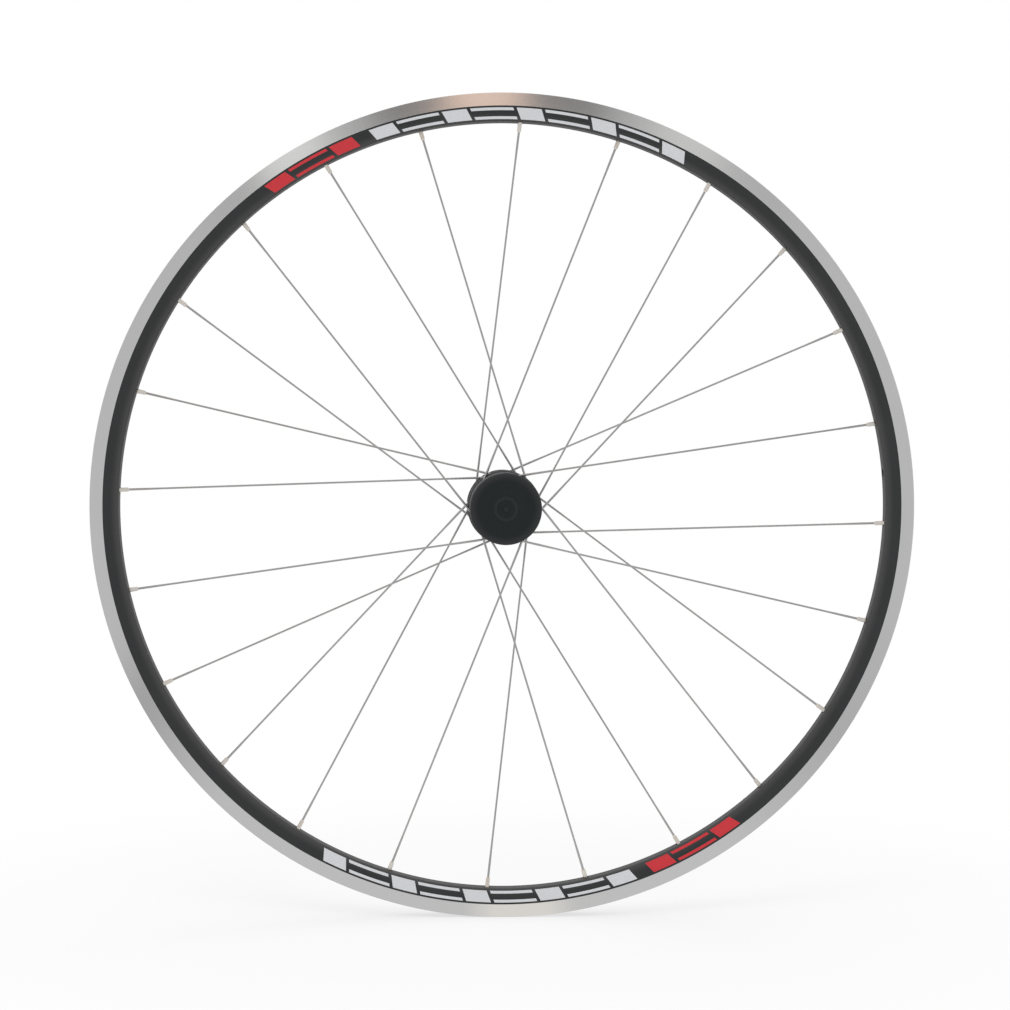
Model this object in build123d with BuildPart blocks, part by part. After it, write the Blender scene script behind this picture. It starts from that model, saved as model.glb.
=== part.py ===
# Rear road bicycle wheel for rim brakes, without tyre, cassette or skewer.
# The axle lies along Y and the wheel stands in the XZ plane, +Z up. The drive side faces -Y.
# The origin is where the axle meets the middle plane of the rim. Millimetres and degrees.
# A turned section is drawn as (radius, distance along the axle) and revolved about Y.
import os
from math import cos, radians, sin, sqrt, tan

from build123d import *

os.makedirs("parts", exist_ok=True)

# Rim: bead seat 622, 15 between the hooks
BEAD_SEAT_R = 311.0
RIM_FLANGE_H = 5.8
RIM_DEPTH = 21.5
HOOK_GAP_HALF_W = 7.5
HOOK_OVERHANG = 1.4
HOOK_TIP_DROP = 1.6
HOOK_ROOT_DROP = 3.4
RIM_FLANGE_T = 1.5
RIM_EDGE_CHAMFER = 0.5
TRACK_H = 10.0
TRACK_STEP = 0.25
BOTTOM_HALF_W = 6.6
BOTTOM_FILLET = 2.0
BEAD_SHELF_W = 3.1
WELL_DEPTH = 2.1
WELL_SLOPE_W = 1.2
BRIDGE_T = 1.1
SIDE_WALL_T = 1.2
SPOKE_BED_T = 1.7
BED_INSET = 2.8
BED_CORNER_H = 3.4
VALVE_HOLE_R = 3.25
VALVE_ANGLE = 5.0

RIM_OUTER_R = BEAD_SEAT_R + RIM_FLANGE_H
RIM_INNER_R = RIM_OUTER_R - RIM_DEPTH
TRACK_LOW_R = RIM_OUTER_R - TRACK_H
WELL_R = BEAD_SEAT_R - WELL_DEPTH
BED_R = RIM_INNER_R + SPOKE_BED_T
FLANGE_INSIDE_HALF_W = HOOK_GAP_HALF_W + HOOK_OVERHANG
RIM_HALF_W = FLANGE_INSIDE_HALF_W + RIM_FLANGE_T
TRACK_FOOT_HALF_W = RIM_HALF_W - TRACK_STEP
SHELF_INNER_HALF_W = FLANGE_INSIDE_HALF_W - BEAD_SHELF_W
WELL_HALF_W = SHELF_INNER_HALF_W - WELL_SLOPE_W

# Lacing: 24 spokes, each crossing two others of its own flange
SPOKE_COUNT = 24
SPOKE_PITCH = 360.0 / SPOKE_COUNT
FIRST_SPOKE_ANGLE = 12.5
HUB_TURN = 60.0
SPOKE_R = 0.9
SPOKE_MIDDLE_R = 0.75
BUTT_L = 22.0
BUTT_TAPER_L = 14.0
SPOKE_HEAD_STEP = 0.75
SPOKE_HEAD_T = 0.9
ELBOW_REACH = 2 * SPOKE_R
ELBOW_STEP = 1.05
ELBOW_GAP = 0.15
SPOKE_IN_NIPPLE = 1.5

# Nipples: hexagon head inside the rim, tapered square shank outside it
NIPPLE_SQUARE = 3.2
NIPPLE_TAPER = 1.0
NIPPLE_REACH = 7.8
NIPPLE_HEAD_T = 2.2
NIPPLE_HEAD_LAND = 0.1
NIPPLE_HOLE_GAP = 0.14
NIPPLE_SEAT_GAP = 0.03
NIPPLE_KEY_ROOM = 1.2
THREAD_GAP = 0.03

NIPPLE_HOLE_R = NIPPLE_SQUARE / sqrt(2) + NIPPLE_HOLE_GAP
NIPPLE_HEAD_FLAT_R = NIPPLE_HOLE_R + NIPPLE_HEAD_LAND
NIPPLE_HEAD_CORNER_R = NIPPLE_HEAD_FLAT_R / cos(radians(30))
KEY_HOLE_R = NIPPLE_HEAD_CORNER_R + NIPPLE_KEY_ROOM

# Sealed bearings 15 x 28 x 7, all four alike
AXLE_R = 7.5
BEARING_SECTION = 6.5
BEARING_W = 7.0
INNER_RING_T = 1.9
SEAL_LIP_GAP = 0.2
SEAT_GAP = 0.02

BEARING_R = AXLE_R + BEARING_SECTION
INNER_RING_R = AXLE_R + INNER_RING_T
SEAL_LIP_R = INNER_RING_R + SEAL_LIP_GAP

# Axle, end caps and sleeves: 130 between the dropouts
DROPOUT_HALF_W = 65.0
NUB_R = 5.0
NUB_LENGTH = 5.0
NUB_CHAMFER = 0.5
SKEWER_R = 2.65
AXLE_WALL = 2.3
END_CAP_WALL = 5.0
SLEEVE_T = 1.7
LEFT_NUT_STEP = 1.4
LEFT_NUT_L = 8.0
LEFT_NUT_FLATS = 17.0
OUTER_SLEEVE_T = 1.6

AXLE_BORE_R = AXLE_R - AXLE_WALL
AXLE_HALF_LENGTH = DROPOUT_HALF_W - END_CAP_WALL
SLEEVE_R = AXLE_R + SLEEVE_T
LEFT_NUT_R = SLEEVE_R + LEFT_NUT_STEP
LEFT_NUT_Y = DROPOUT_HALF_W - LEFT_NUT_L

# Pawls and ratchet, outwards from the sleeve that runs through the freehub's nose
PAWL_ANGLES = (30.0, 150.0, 270.0)
PAWL_SWEEP = 24.3
PAWL_KNUCKLE_R = 1.35
PAWL_KNUCKLE_GAP = 0.05
PAWL_HEEL = (0.85, 1.04)
PAWL_TIP_GAP = 0.4
PAWL_TIP_BACK = 0.3
PAWL_TOOTH_GAP = 2.2
NOSE_BORE_GAP = 0.6
POCKET_FLOOR_T = 1.3
POCKET_BACK = (1.5, 0.85)
POCKET_FLOOR_RISE = 0.35
POCKET_TIP_ROOM = 1.1
POCKET_END_GAP = 0.1
POCKET_LIP = 1.0
KNUCKLE_COVER = 0.65
SPRING_T = 0.3
SPRING_GAP = 0.01
SPRING_START = 1.05
SPRING_END_GAP = 0.3
TOOTH_COUNT = 24
TOOTH_PITCH = 360.0 / TOOTH_COUNT
TOOTH_TIP_GAP = 0.6
TOOTH_H = 1.0
RATCHET_WALL = 1.3
RATCHET_W = 7.2
RATCHET_END_GAP = 0.2
RATCHET_SINK = 0.4
PAWL_OUTER_INSET = 0.3
PAWL_INNER_INSET = 1.5

NOSE_BORE_R = SLEEVE_R + NOSE_BORE_GAP
PAWL_PIVOT_R = NOSE_BORE_R + POCKET_FLOOR_T + POCKET_BACK[0]
NOSE_R = PAWL_PIVOT_R + PAWL_KNUCKLE_R + KNUCKLE_COVER
TOOTH_TIP_R = NOSE_R + TOOTH_TIP_GAP
TOOTH_ROOT_R = TOOTH_TIP_R + TOOTH_H
PAWL_TIP_R = TOOTH_ROOT_R - PAWL_TIP_GAP
PAWL_TIP_LOW_R = NOSE_R - PAWL_TIP_BACK
RECESS_R = TOOTH_ROOT_R + RATCHET_WALL
POCKET_REACH = PAWL_TIP_R * sin(radians(PAWL_SWEEP)) + POCKET_TIP_ROOM

# Hub shell
DRIVE_FLANGE_Y = -20.5
LEFT_FLANGE_Y = 37.0
FLANGE_T = 3.2
FLANGE_RISE = 7.0
FLANGE_EDGE = 3.4
FLANGE_CHAMFER = 0.6
FLANGE_HOLE_GAP = 0.25
COLLAR_T = 3.5
COLLAR_L = 2.5
RECESS_WALL = 2.0
DRIVE_CONE_L = 18.8
RIGHT_BEARING_SINK = 1.3
SHELL_BORE_GAP = 2.2
BARREL_WALL = 2.2
BARREL_FILLET = 12.0
LEFT_CONE_L = 7.4
LEFT_CONE_FOOT = 1.2
LEFT_BOSS_WALL = 2.6
LEFT_FOOT_W = 2.2
LEFT_FOOT_L = 2.5
LEFT_BEARING_SHIFT = 2.0
SEAL_RECESS = 1.0

FLANGE_HALF_T = FLANGE_T / 2
COLLAR_R = RECESS_R + COLLAR_T
FLANGE_R = COLLAR_R + FLANGE_RISE
HOLE_CIRCLE_R = FLANGE_R - FLANGE_EDGE
FLANGE_HOLE_R = SPOKE_R + FLANGE_HOLE_GAP
SHELL_DRIVE_Y = DRIVE_FLANGE_Y - FLANGE_HALF_T - COLLAR_L
RATCHET_OUT_Y = SHELL_DRIVE_Y + RATCHET_SINK
RATCHET_IN_Y = RATCHET_OUT_Y + RATCHET_W
RECESS_Y = RATCHET_IN_Y + RATCHET_END_GAP
PAWL_OUT_Y = RATCHET_OUT_Y + PAWL_OUTER_INSET
PAWL_IN_Y = RATCHET_IN_Y - PAWL_INNER_INSET
HUB_RIGHT_BEARING_Y = RECESS_Y + RIGHT_BEARING_SINK
HUB_LEFT_BEARING_Y = LEFT_FLANGE_Y + LEFT_BEARING_SHIFT
SHELL_LEFT_Y = HUB_LEFT_BEARING_Y + BEARING_W + SEAL_RECESS
SHELL_BORE_R = SLEEVE_R + SHELL_BORE_GAP
BARREL_R = SHELL_BORE_R + BARREL_WALL
LEFT_BOSS_R = BEARING_R + LEFT_BOSS_WALL

# Rubber seals
SEAL_T = 0.8
SEAL_SINK = 0.1
SEAL_EDGE_GAP = 0.3

LEFT_SEAL_OUT_Y = SHELL_LEFT_Y - SEAL_SINK
FREEHUB_SEAL_IN_Y = RATCHET_OUT_Y - SEAL_SINK

# Freehub body with nine splines, one of them narrow
STOP_FLANGE_W = 1.8
STOP_FLANGE_RISE = 1.8
SPLINE_COUNT = 9
SPLINE_PITCH = 360.0 / SPLINE_COUNT
SPLINE_L = 33.1
SPLINE_H = 1.7
SPLINE_W = 5.2
SPLINE_SINK = 0.3
NARROW_SPLINE_W = 3.0
NARROW_SPLINE_ANGLE = 90.0
LOCKRING_STEP = 1.0
LOCKRING_STEP_GAP = 0.5
LOCKRING_WALL = 0.7
BEARING_SHOULDER_GAP = 0.1
OUTBOARD_BEARING_SINK = 6.5

LOCKRING_BORE_R = BEARING_R + LOCKRING_STEP
SPLINE_ROOT_R = LOCKRING_BORE_R + LOCKRING_WALL
SPLINE_TIP_R = SPLINE_ROOT_R + SPLINE_H
STOP_FLANGE_R = SPLINE_TIP_R + STOP_FLANGE_RISE
STOP_FLANGE_IN_Y = FREEHUB_SEAL_IN_Y - SEAL_T
STOP_FLANGE_OUT_Y = STOP_FLANGE_IN_Y - STOP_FLANGE_W
NOSE_END_Y = PAWL_IN_Y + POCKET_END_GAP + POCKET_LIP
FREEHUB_END_Y = STOP_FLANGE_OUT_Y - SPLINE_L
FREEHUB_SHOULDER_Y = STOP_FLANGE_OUT_Y - BEARING_SHOULDER_GAP
FREEHUB_INBOARD_BEARING_Y = FREEHUB_SHOULDER_Y - BEARING_W
FREEHUB_OUTBOARD_BEARING_Y = FREEHUB_END_Y + OUTBOARD_BEARING_SINK
LOCKRING_BORE_Y = FREEHUB_OUTBOARD_BEARING_Y - LOCKRING_STEP_GAP

# Plastic cover over the freehub
COVER_WALL = 1.6
COVER_SPACE = 6.25
COVER_EDGE_FILLET = 2.2
COVER_NUB_GAP = 2.4
COVER_MOUTH_GAP = 2.1
COVER_COLLAR_GAP = 0.05
COVER_COLLAR_WALL = 1.5
COVER_GRIP_L = 14.0
COVER_RING_R = 7.9
COVER_RING_W = 2.4
COVER_RING_H = 0.4
COVER_DIMPLE_R = 2.4
COVER_DIMPLE_DEPTH = 0.5

COVER_COLLAR_R = SPLINE_TIP_R + COVER_COLLAR_GAP
COVER_CUP_R = COVER_COLLAR_R + COVER_COLLAR_WALL + COVER_SPACE
COVER_R = COVER_CUP_R + COVER_WALL
COVER_PLATE_Y = -(DROPOUT_HALF_W + NUB_LENGTH + COVER_NUB_GAP)
COVER_FRONT_Y = COVER_PLATE_Y - COVER_WALL
COVER_MOUTH_Y = STOP_FLANGE_OUT_Y - COVER_MOUTH_GAP
COVER_COLLAR_Y = FREEHUB_END_Y + COVER_GRIP_L

# A hole is cut by a cylinder this much longer than the wall it goes through
CUT_MARGIN = 2.0

AXIAL = Vector(0, 1, 0)


def on_wheel(radius, angle, y):
    """Return the point at a radius and angle about the axle, at the distance y along it."""
    return Vector(radius * cos(radians(angle)), y, radius * sin(radians(angle)))


def across(y, angle=0.0):
    """Return the plane across the axle at y, seen from the drive side, its x axis turned by the angle."""
    return Plane(origin=AXIAL * y, x_dir=on_wheel(1, angle, 0), z_dir=-AXIAL)


def side_wall_half_w(radius):
    """Return half the rim's outside width at a radius of its sloping side wall."""
    rise = (radius - RIM_INNER_R) / (TRACK_LOW_R - RIM_INNER_R)
    return BOTTOM_HALF_W + rise * (TRACK_FOOT_HALF_W - BOTTOM_HALF_W)


def pocket_floor_r(along):
    """Return the radius of a pawl pocket's floor at a distance along the pocket from the pawl's pivot."""
    slope = POCKET_FLOOR_RISE / (POCKET_REACH - POCKET_BACK[1])
    return PAWL_PIVOT_R - POCKET_BACK[0] + slope * (along - POCKET_BACK[1])


class Spoke:
    """Where one spoke runs: its flange, which face it leaves, and its line to the rim."""

    def __init__(self, index):
        self.drive = index % 2 == 0
        self.lean = 1 if (index // 2) % 2 == 0 else -1
        self.angle = FIRST_SPOKE_ANGLE + SPOKE_PITCH * index
        self.outward = on_wheel(1, self.angle, 0)
        flange_y = DRIVE_FLANGE_Y if self.drive else LEFT_FLANGE_Y
        outboard = -1 if self.drive else 1
        self.side = AXIAL * (outboard * self.lean)
        hole = on_wheel(HOLE_CIRCLE_R, self.angle + HUB_TURN * self.lean, flange_y)
        self.head = hole - self.side * FLANGE_HALF_T
        self.elbow = hole + self.side * (FLANGE_HALF_T + ELBOW_GAP + ELBOW_REACH)
        bed = on_wheel(BED_R, self.angle, 0)
        self.line = (bed - self.elbow).normalized()
        tilt = self.line.get_angle(self.outward)
        lift = NIPPLE_HEAD_CORNER_R * tan(radians(tilt)) + NIPPLE_SEAT_GAP
        self.seat = bed + self.line * lift
        self.end = self.seat + self.line * SPOKE_IN_NIPPLE


spokes = [Spoke(index) for index in range(SPOKE_COUNT)]

# Rim: one extruded section rolled into a hoop
hollow_top_r = BEAD_SEAT_R - BRIDGE_T
bed_corner_r = BED_R + BED_CORNER_H
half_bridge = BRIDGE_T / 2
nipple_hole_l = 2 * (SPOKE_BED_T + CUT_MARGIN)
key_hole_l = 2 * (BRIDGE_T + CUT_MARGIN)

with BuildPart() as rim:
    with BuildSketch(Plane.XY) as rim_section:
        with BuildLine():
            Polyline(
                (RIM_INNER_R, 0),
                (RIM_INNER_R, BOTTOM_HALF_W),
                (TRACK_LOW_R, TRACK_FOOT_HALF_W),
                (TRACK_LOW_R, RIM_HALF_W),
                (RIM_OUTER_R - RIM_EDGE_CHAMFER, RIM_HALF_W),
                (RIM_OUTER_R, RIM_HALF_W - RIM_EDGE_CHAMFER),
                (RIM_OUTER_R, FLANGE_INSIDE_HALF_W - RIM_EDGE_CHAMFER),
                (RIM_OUTER_R - HOOK_TIP_DROP, HOOK_GAP_HALF_W),
                (RIM_OUTER_R - HOOK_ROOT_DROP, FLANGE_INSIDE_HALF_W),
                (BEAD_SEAT_R, FLANGE_INSIDE_HALF_W),
                (BEAD_SEAT_R, SHELF_INNER_HALF_W),
                (WELL_R, WELL_HALF_W),
                (WELL_R, 0),
            )
            mirror(about=Plane.XZ)
        make_face()
        fillet(rim_section.vertices().group_by(Axis.X)[0], BOTTOM_FILLET)
        with BuildLine():
            Polyline(
                (BED_R, 0),
                (BED_R, BOTTOM_HALF_W - BED_INSET),
                (bed_corner_r, side_wall_half_w(bed_corner_r) - SIDE_WALL_T),
                (hollow_top_r, RIM_HALF_W - SIDE_WALL_T),
                (hollow_top_r, SHELF_INNER_HALF_W + half_bridge),
                (WELL_R - BRIDGE_T, WELL_HALF_W + half_bridge),
                (WELL_R - BRIDGE_T, 0),
            )
            mirror(about=Plane.XZ)
        make_face(mode=Mode.SUBTRACT)
    revolve(axis=Axis.Y)
    with Locations(*[Plane(origin=s.seat - s.line * SPOKE_BED_T, z_dir=s.line) for s in spokes]):
        Cylinder(NIPPLE_HOLE_R, nipple_hole_l, mode=Mode.SUBTRACT)
    with Locations(*[Plane(origin=on_wheel(WELL_R, s.angle, 0), z_dir=s.outward) for s in spokes]):
        Cylinder(KEY_HOLE_R, key_hole_l, mode=Mode.SUBTRACT)
    with Locations(Plane(origin=on_wheel(RIM_INNER_R, VALVE_ANGLE, 0), z_dir=on_wheel(1, VALVE_ANGLE, 0))):
        Cylinder(VALVE_HOLE_R, 2 * RIM_DEPTH, mode=Mode.SUBTRACT)
rim.part.label = "rim"
export_step(rim.part, "parts/rim.step")

# Nipples: one pattern piece, set on the end of every spoke
with BuildPart() as nipple:
    with BuildSketch(Plane.XY):
        RegularPolygon(NIPPLE_HEAD_FLAT_R, 6, major_radius=False)
    extrude(amount=NIPPLE_HEAD_T)
    with BuildSketch(Plane.XY):
        Rectangle(NIPPLE_SQUARE, NIPPLE_SQUARE)
    extrude(amount=-(NIPPLE_REACH + SPOKE_BED_T), taper=NIPPLE_TAPER)
    Hole(SPOKE_R + THREAD_GAP)

with BuildPart() as nipples:
    with Locations(*[Plane(origin=s.seat, x_dir=AXIAL.cross(s.line), z_dir=s.line) for s in spokes]):
        add(nipple.part)
nipples.part.label = "nipples"
export_step(nipples.part, "parts/nipples.step")

# Spokes: round wire with a head and an elbow bent in two short steps, drawn thinner between its two thick ends
counts = {True: 0, False: 0}
for s in spokes:
    counts[s.drive] += 1
    spoke_name = f"spoke_{'drive' if s.drive else 'left'}_{counts[s.drive]:02d}"
    butt = s.elbow + s.line * BUTT_L
    run_l = (s.end - butt).length
    with BuildPart() as spoke:
        with BuildLine() as run:
            Polyline(s.head, s.elbow - s.side * ELBOW_STEP, s.elbow + s.line * ELBOW_STEP, butt)
        with BuildSketch(Plane(origin=s.head, z_dir=s.side)):
            Circle(SPOKE_R)
        sweep(path=run.wires()[0], transition=Transition.RIGHT)
        with BuildSketch(Plane(origin=butt, x_dir=s.line, z_dir=s.line.cross(AXIAL))):
            with BuildLine():
                Polyline(
                    (0, 0),
                    (0, SPOKE_R),
                    (BUTT_TAPER_L, SPOKE_MIDDLE_R),
                    (run_l - BUTT_L - BUTT_TAPER_L, SPOKE_MIDDLE_R),
                    (run_l - BUTT_L, SPOKE_R),
                    (run_l, SPOKE_R),
                    (run_l, 0),
                    close=True,
                )
            make_face()
        revolve(axis=Axis(butt, s.line))
        with BuildSketch(Plane(origin=s.head, z_dir=s.side)):
            Circle(SPOKE_R + SPOKE_HEAD_STEP)
        extrude(amount=-SPOKE_HEAD_T)
    spoke.part.label = spoke_name
    export_step(spoke.part, f"parts/{spoke_name}.step")

# Hub shell: turned body with two drilled flanges
with BuildPart() as hub_shell:
    with BuildSketch(Plane.XY) as shell_section:
        with BuildLine():
            Polyline(
                (BEARING_R, SHELL_LEFT_Y),
                (LEFT_BOSS_R, SHELL_LEFT_Y),
                (LEFT_BOSS_R, LEFT_FLANGE_Y + FLANGE_HALF_T + LEFT_FOOT_L),
                (LEFT_BOSS_R + LEFT_FOOT_W, LEFT_FLANGE_Y + FLANGE_HALF_T),
                (FLANGE_R, LEFT_FLANGE_Y + FLANGE_HALF_T),
                (FLANGE_R, LEFT_FLANGE_Y - FLANGE_HALF_T),
                (LEFT_BOSS_R + LEFT_CONE_FOOT, LEFT_FLANGE_Y - FLANGE_HALF_T),
                (BARREL_R, LEFT_FLANGE_Y - FLANGE_HALF_T - LEFT_CONE_L),
                (BARREL_R, RECESS_Y + DRIVE_CONE_L),
                (RECESS_R + RECESS_WALL, RECESS_Y),
                (RECESS_R + RECESS_WALL, DRIVE_FLANGE_Y + FLANGE_HALF_T),
                (FLANGE_R, DRIVE_FLANGE_Y + FLANGE_HALF_T),
                (FLANGE_R, DRIVE_FLANGE_Y - FLANGE_HALF_T),
                (COLLAR_R, DRIVE_FLANGE_Y - FLANGE_HALF_T),
                (COLLAR_R, SHELL_DRIVE_Y),
                (RECESS_R, SHELL_DRIVE_Y),
                (RECESS_R, RECESS_Y),
                (BEARING_R, RECESS_Y),
                (BEARING_R, HUB_RIGHT_BEARING_Y + BEARING_W),
                (SHELL_BORE_R, HUB_RIGHT_BEARING_Y + BEARING_W),
                (SHELL_BORE_R, HUB_LEFT_BEARING_Y),
                (BEARING_R, HUB_LEFT_BEARING_Y),
                close=True,
            )
        make_face()
        chamfer(shell_section.vertices().group_by(Axis.X)[-1], FLANGE_CHAMFER)
        fillet(shell_section.vertices().filter_by(lambda v: abs(v.X - BARREL_R) < SEAT_GAP), BARREL_FILLET)
    revolve(axis=Axis.Y)
    for flange_y, first_hole in (
        (DRIVE_FLANGE_Y, FIRST_SPOKE_ANGLE),
        (LEFT_FLANGE_Y, FIRST_SPOKE_ANGLE + SPOKE_PITCH),
    ):
        with BuildSketch(across(flange_y)):
            with PolarLocations(HOLE_CIRCLE_R, SPOKE_COUNT // 2, start_angle=first_hole):
                Circle(FLANGE_HOLE_R)
        extrude(amount=FLANGE_T, both=True, mode=Mode.SUBTRACT)
hub_shell.part.label = "hub_shell"
export_step(hub_shell.part, "parts/hub_shell.step")

# Sealed bearings: an outer ring that carries the seals, and an inner ring on the axle
bearing_places = {
    "hub_left": HUB_LEFT_BEARING_Y,
    "hub_right": HUB_RIGHT_BEARING_Y,
    "freehub_inboard": FREEHUB_INBOARD_BEARING_Y,
    "freehub_outboard": FREEHUB_OUTBOARD_BEARING_Y,
}
for place, low_y in bearing_places.items():
    middle_y = low_y + BEARING_W / 2
    with BuildPart() as outer_ring:
        with BuildSketch(across(middle_y)):
            Circle(BEARING_R - SEAT_GAP)
            Circle(SEAL_LIP_R, mode=Mode.SUBTRACT)
        extrude(amount=BEARING_W / 2, both=True)
    outer_ring.part.label = f"{place}_outer_ring"
    export_step(outer_ring.part, f"parts/{place}_outer_ring.step")
    with BuildPart() as inner_ring:
        with BuildSketch(across(middle_y)):
            Circle(INNER_RING_R)
            Circle(AXLE_R + SEAT_GAP, mode=Mode.SUBTRACT)
        extrude(amount=BEARING_W / 2, both=True)
    inner_ring.part.label = f"{place}_inner_ring"
    export_step(inner_ring.part, f"parts/{place}_inner_ring.step")

# Axle: hollow, with a thicker middle that the hub bearings stop against
with BuildPart() as axle:
    with BuildSketch(Plane.XY):
        with BuildLine():
            Polyline(
                (AXLE_BORE_R, -AXLE_HALF_LENGTH),
                (AXLE_R, -AXLE_HALF_LENGTH),
                (AXLE_R, HUB_RIGHT_BEARING_Y + BEARING_W),
                (SLEEVE_R, HUB_RIGHT_BEARING_Y + BEARING_W),
                (SLEEVE_R, HUB_LEFT_BEARING_Y),
                (AXLE_R, HUB_LEFT_BEARING_Y),
                (AXLE_R, AXLE_HALF_LENGTH),
                (AXLE_BORE_R, AXLE_HALF_LENGTH),
                close=True,
            )
        make_face()
    revolve(axis=Axis.Y)
axle.part.label = "axle"
export_step(axle.part, "parts/axle.step")

# End caps: cups over the axle ends, bored for the skewer, with the nub for the dropout
nub_end_y = DROPOUT_HALF_W + NUB_LENGTH
with BuildPart() as end_cap_left:
    with BuildSketch(Plane.XY):
        with BuildLine():
            Polyline(
                (AXLE_R + SEAT_GAP, HUB_LEFT_BEARING_Y + BEARING_W),
                (SLEEVE_R, HUB_LEFT_BEARING_Y + BEARING_W),
                (SLEEVE_R, LEFT_NUT_Y),
                (LEFT_NUT_R, LEFT_NUT_Y),
                (LEFT_NUT_R, DROPOUT_HALF_W),
                (NUB_R, DROPOUT_HALF_W),
                (NUB_R, nub_end_y - NUB_CHAMFER),
                (NUB_R - NUB_CHAMFER, nub_end_y),
                (SKEWER_R, nub_end_y),
                (SKEWER_R, AXLE_HALF_LENGTH),
                (AXLE_R + SEAT_GAP, AXLE_HALF_LENGTH),
                close=True,
            )
        make_face()
    revolve(axis=Axis.Y)
    with BuildSketch(across(LEFT_NUT_Y)):
        Circle(LEFT_NUT_R + CUT_MARGIN)
        Rectangle(LEFT_NUT_FLATS, 2 * (LEFT_NUT_R + CUT_MARGIN), mode=Mode.SUBTRACT)
    extrude(amount=-LEFT_NUT_L, mode=Mode.SUBTRACT)
end_cap_left.part.label = "end_cap_left"
export_step(end_cap_left.part, "parts/end_cap_left.step")

with BuildPart() as end_cap_right:
    with BuildSketch(Plane.XY):
        with BuildLine():
            Polyline(
                (AXLE_R + SEAT_GAP, FREEHUB_OUTBOARD_BEARING_Y),
                (SLEEVE_R, FREEHUB_OUTBOARD_BEARING_Y),
                (SLEEVE_R, -DROPOUT_HALF_W),
                (NUB_R, -DROPOUT_HALF_W),
                (NUB_R, NUB_CHAMFER - nub_end_y),
                (NUB_R - NUB_CHAMFER, -nub_end_y),
                (SKEWER_R, -nub_end_y),
                (SKEWER_R, -AXLE_HALF_LENGTH),
                (AXLE_R + SEAT_GAP, -AXLE_HALF_LENGTH),
                close=True,
            )
        make_face()
    revolve(axis=Axis.Y)
end_cap_right.part.label = "end_cap_right"
export_step(end_cap_right.part, "parts/end_cap_right.step")

# Sleeves that hold the bearings apart: name, low y, high y, bore, outside radius
freehub_gap_low = FREEHUB_OUTBOARD_BEARING_Y + BEARING_W
axle_fit_r = AXLE_R + SEAT_GAP
sleeves = [
    ("spacer_hub", FREEHUB_SHOULDER_Y, HUB_RIGHT_BEARING_Y, axle_fit_r, SLEEVE_R),
    ("spacer_freehub_inner", freehub_gap_low, FREEHUB_INBOARD_BEARING_Y, axle_fit_r, SLEEVE_R),
    (
        "spacer_freehub_outer",
        freehub_gap_low,
        FREEHUB_INBOARD_BEARING_Y,
        BEARING_R - OUTER_SLEEVE_T,
        BEARING_R - SEAT_GAP,
    ),
]
for sleeve_name, low_y, high_y, bore_r, outside_r in sleeves:
    with BuildPart() as sleeve:
        with BuildSketch(across(high_y)):
            Circle(outside_r)
            Circle(bore_r, mode=Mode.SUBTRACT)
        extrude(amount=high_y - low_y)
    sleeve.part.label = sleeve_name
    export_step(sleeve.part, f"parts/{sleeve_name}.step")

# Ratchet ring: saw teeth whose steep faces catch the pawl tips
first_tooth = PAWL_ANGLES[0] - PAWL_SWEEP - PAWL_TOOTH_GAP
tooth_points = []
for tooth in range(TOOTH_COUNT):
    steep = radians(first_tooth + TOOTH_PITCH * tooth)
    tooth_points.append((TOOTH_TIP_R * cos(steep), TOOTH_TIP_R * sin(steep)))
    tooth_points.append((TOOTH_ROOT_R * cos(steep), TOOTH_ROOT_R * sin(steep)))

with BuildPart() as ratchet_ring:
    with BuildSketch(across(RATCHET_IN_Y)):
        Circle(RECESS_R - SEAT_GAP)
        with BuildLine():
            Polyline(*tooth_points, close=True)
        make_face(mode=Mode.SUBTRACT)
    extrude(amount=RATCHET_W)
ratchet_ring.part.label = "ratchet_ring"
export_step(ratchet_ring.part, "parts/ratchet_ring.step")

# Freehub body: splined barrel, stop flange, and a nose with three pawl pockets
rib_h = SPLINE_H + 2 * SPLINE_SINK
rib_middle_r = SPLINE_ROOT_R + SPLINE_H / 2
wide_count = SPLINE_COUNT - 1
pawl_w = PAWL_IN_Y - PAWL_OUT_Y

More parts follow.
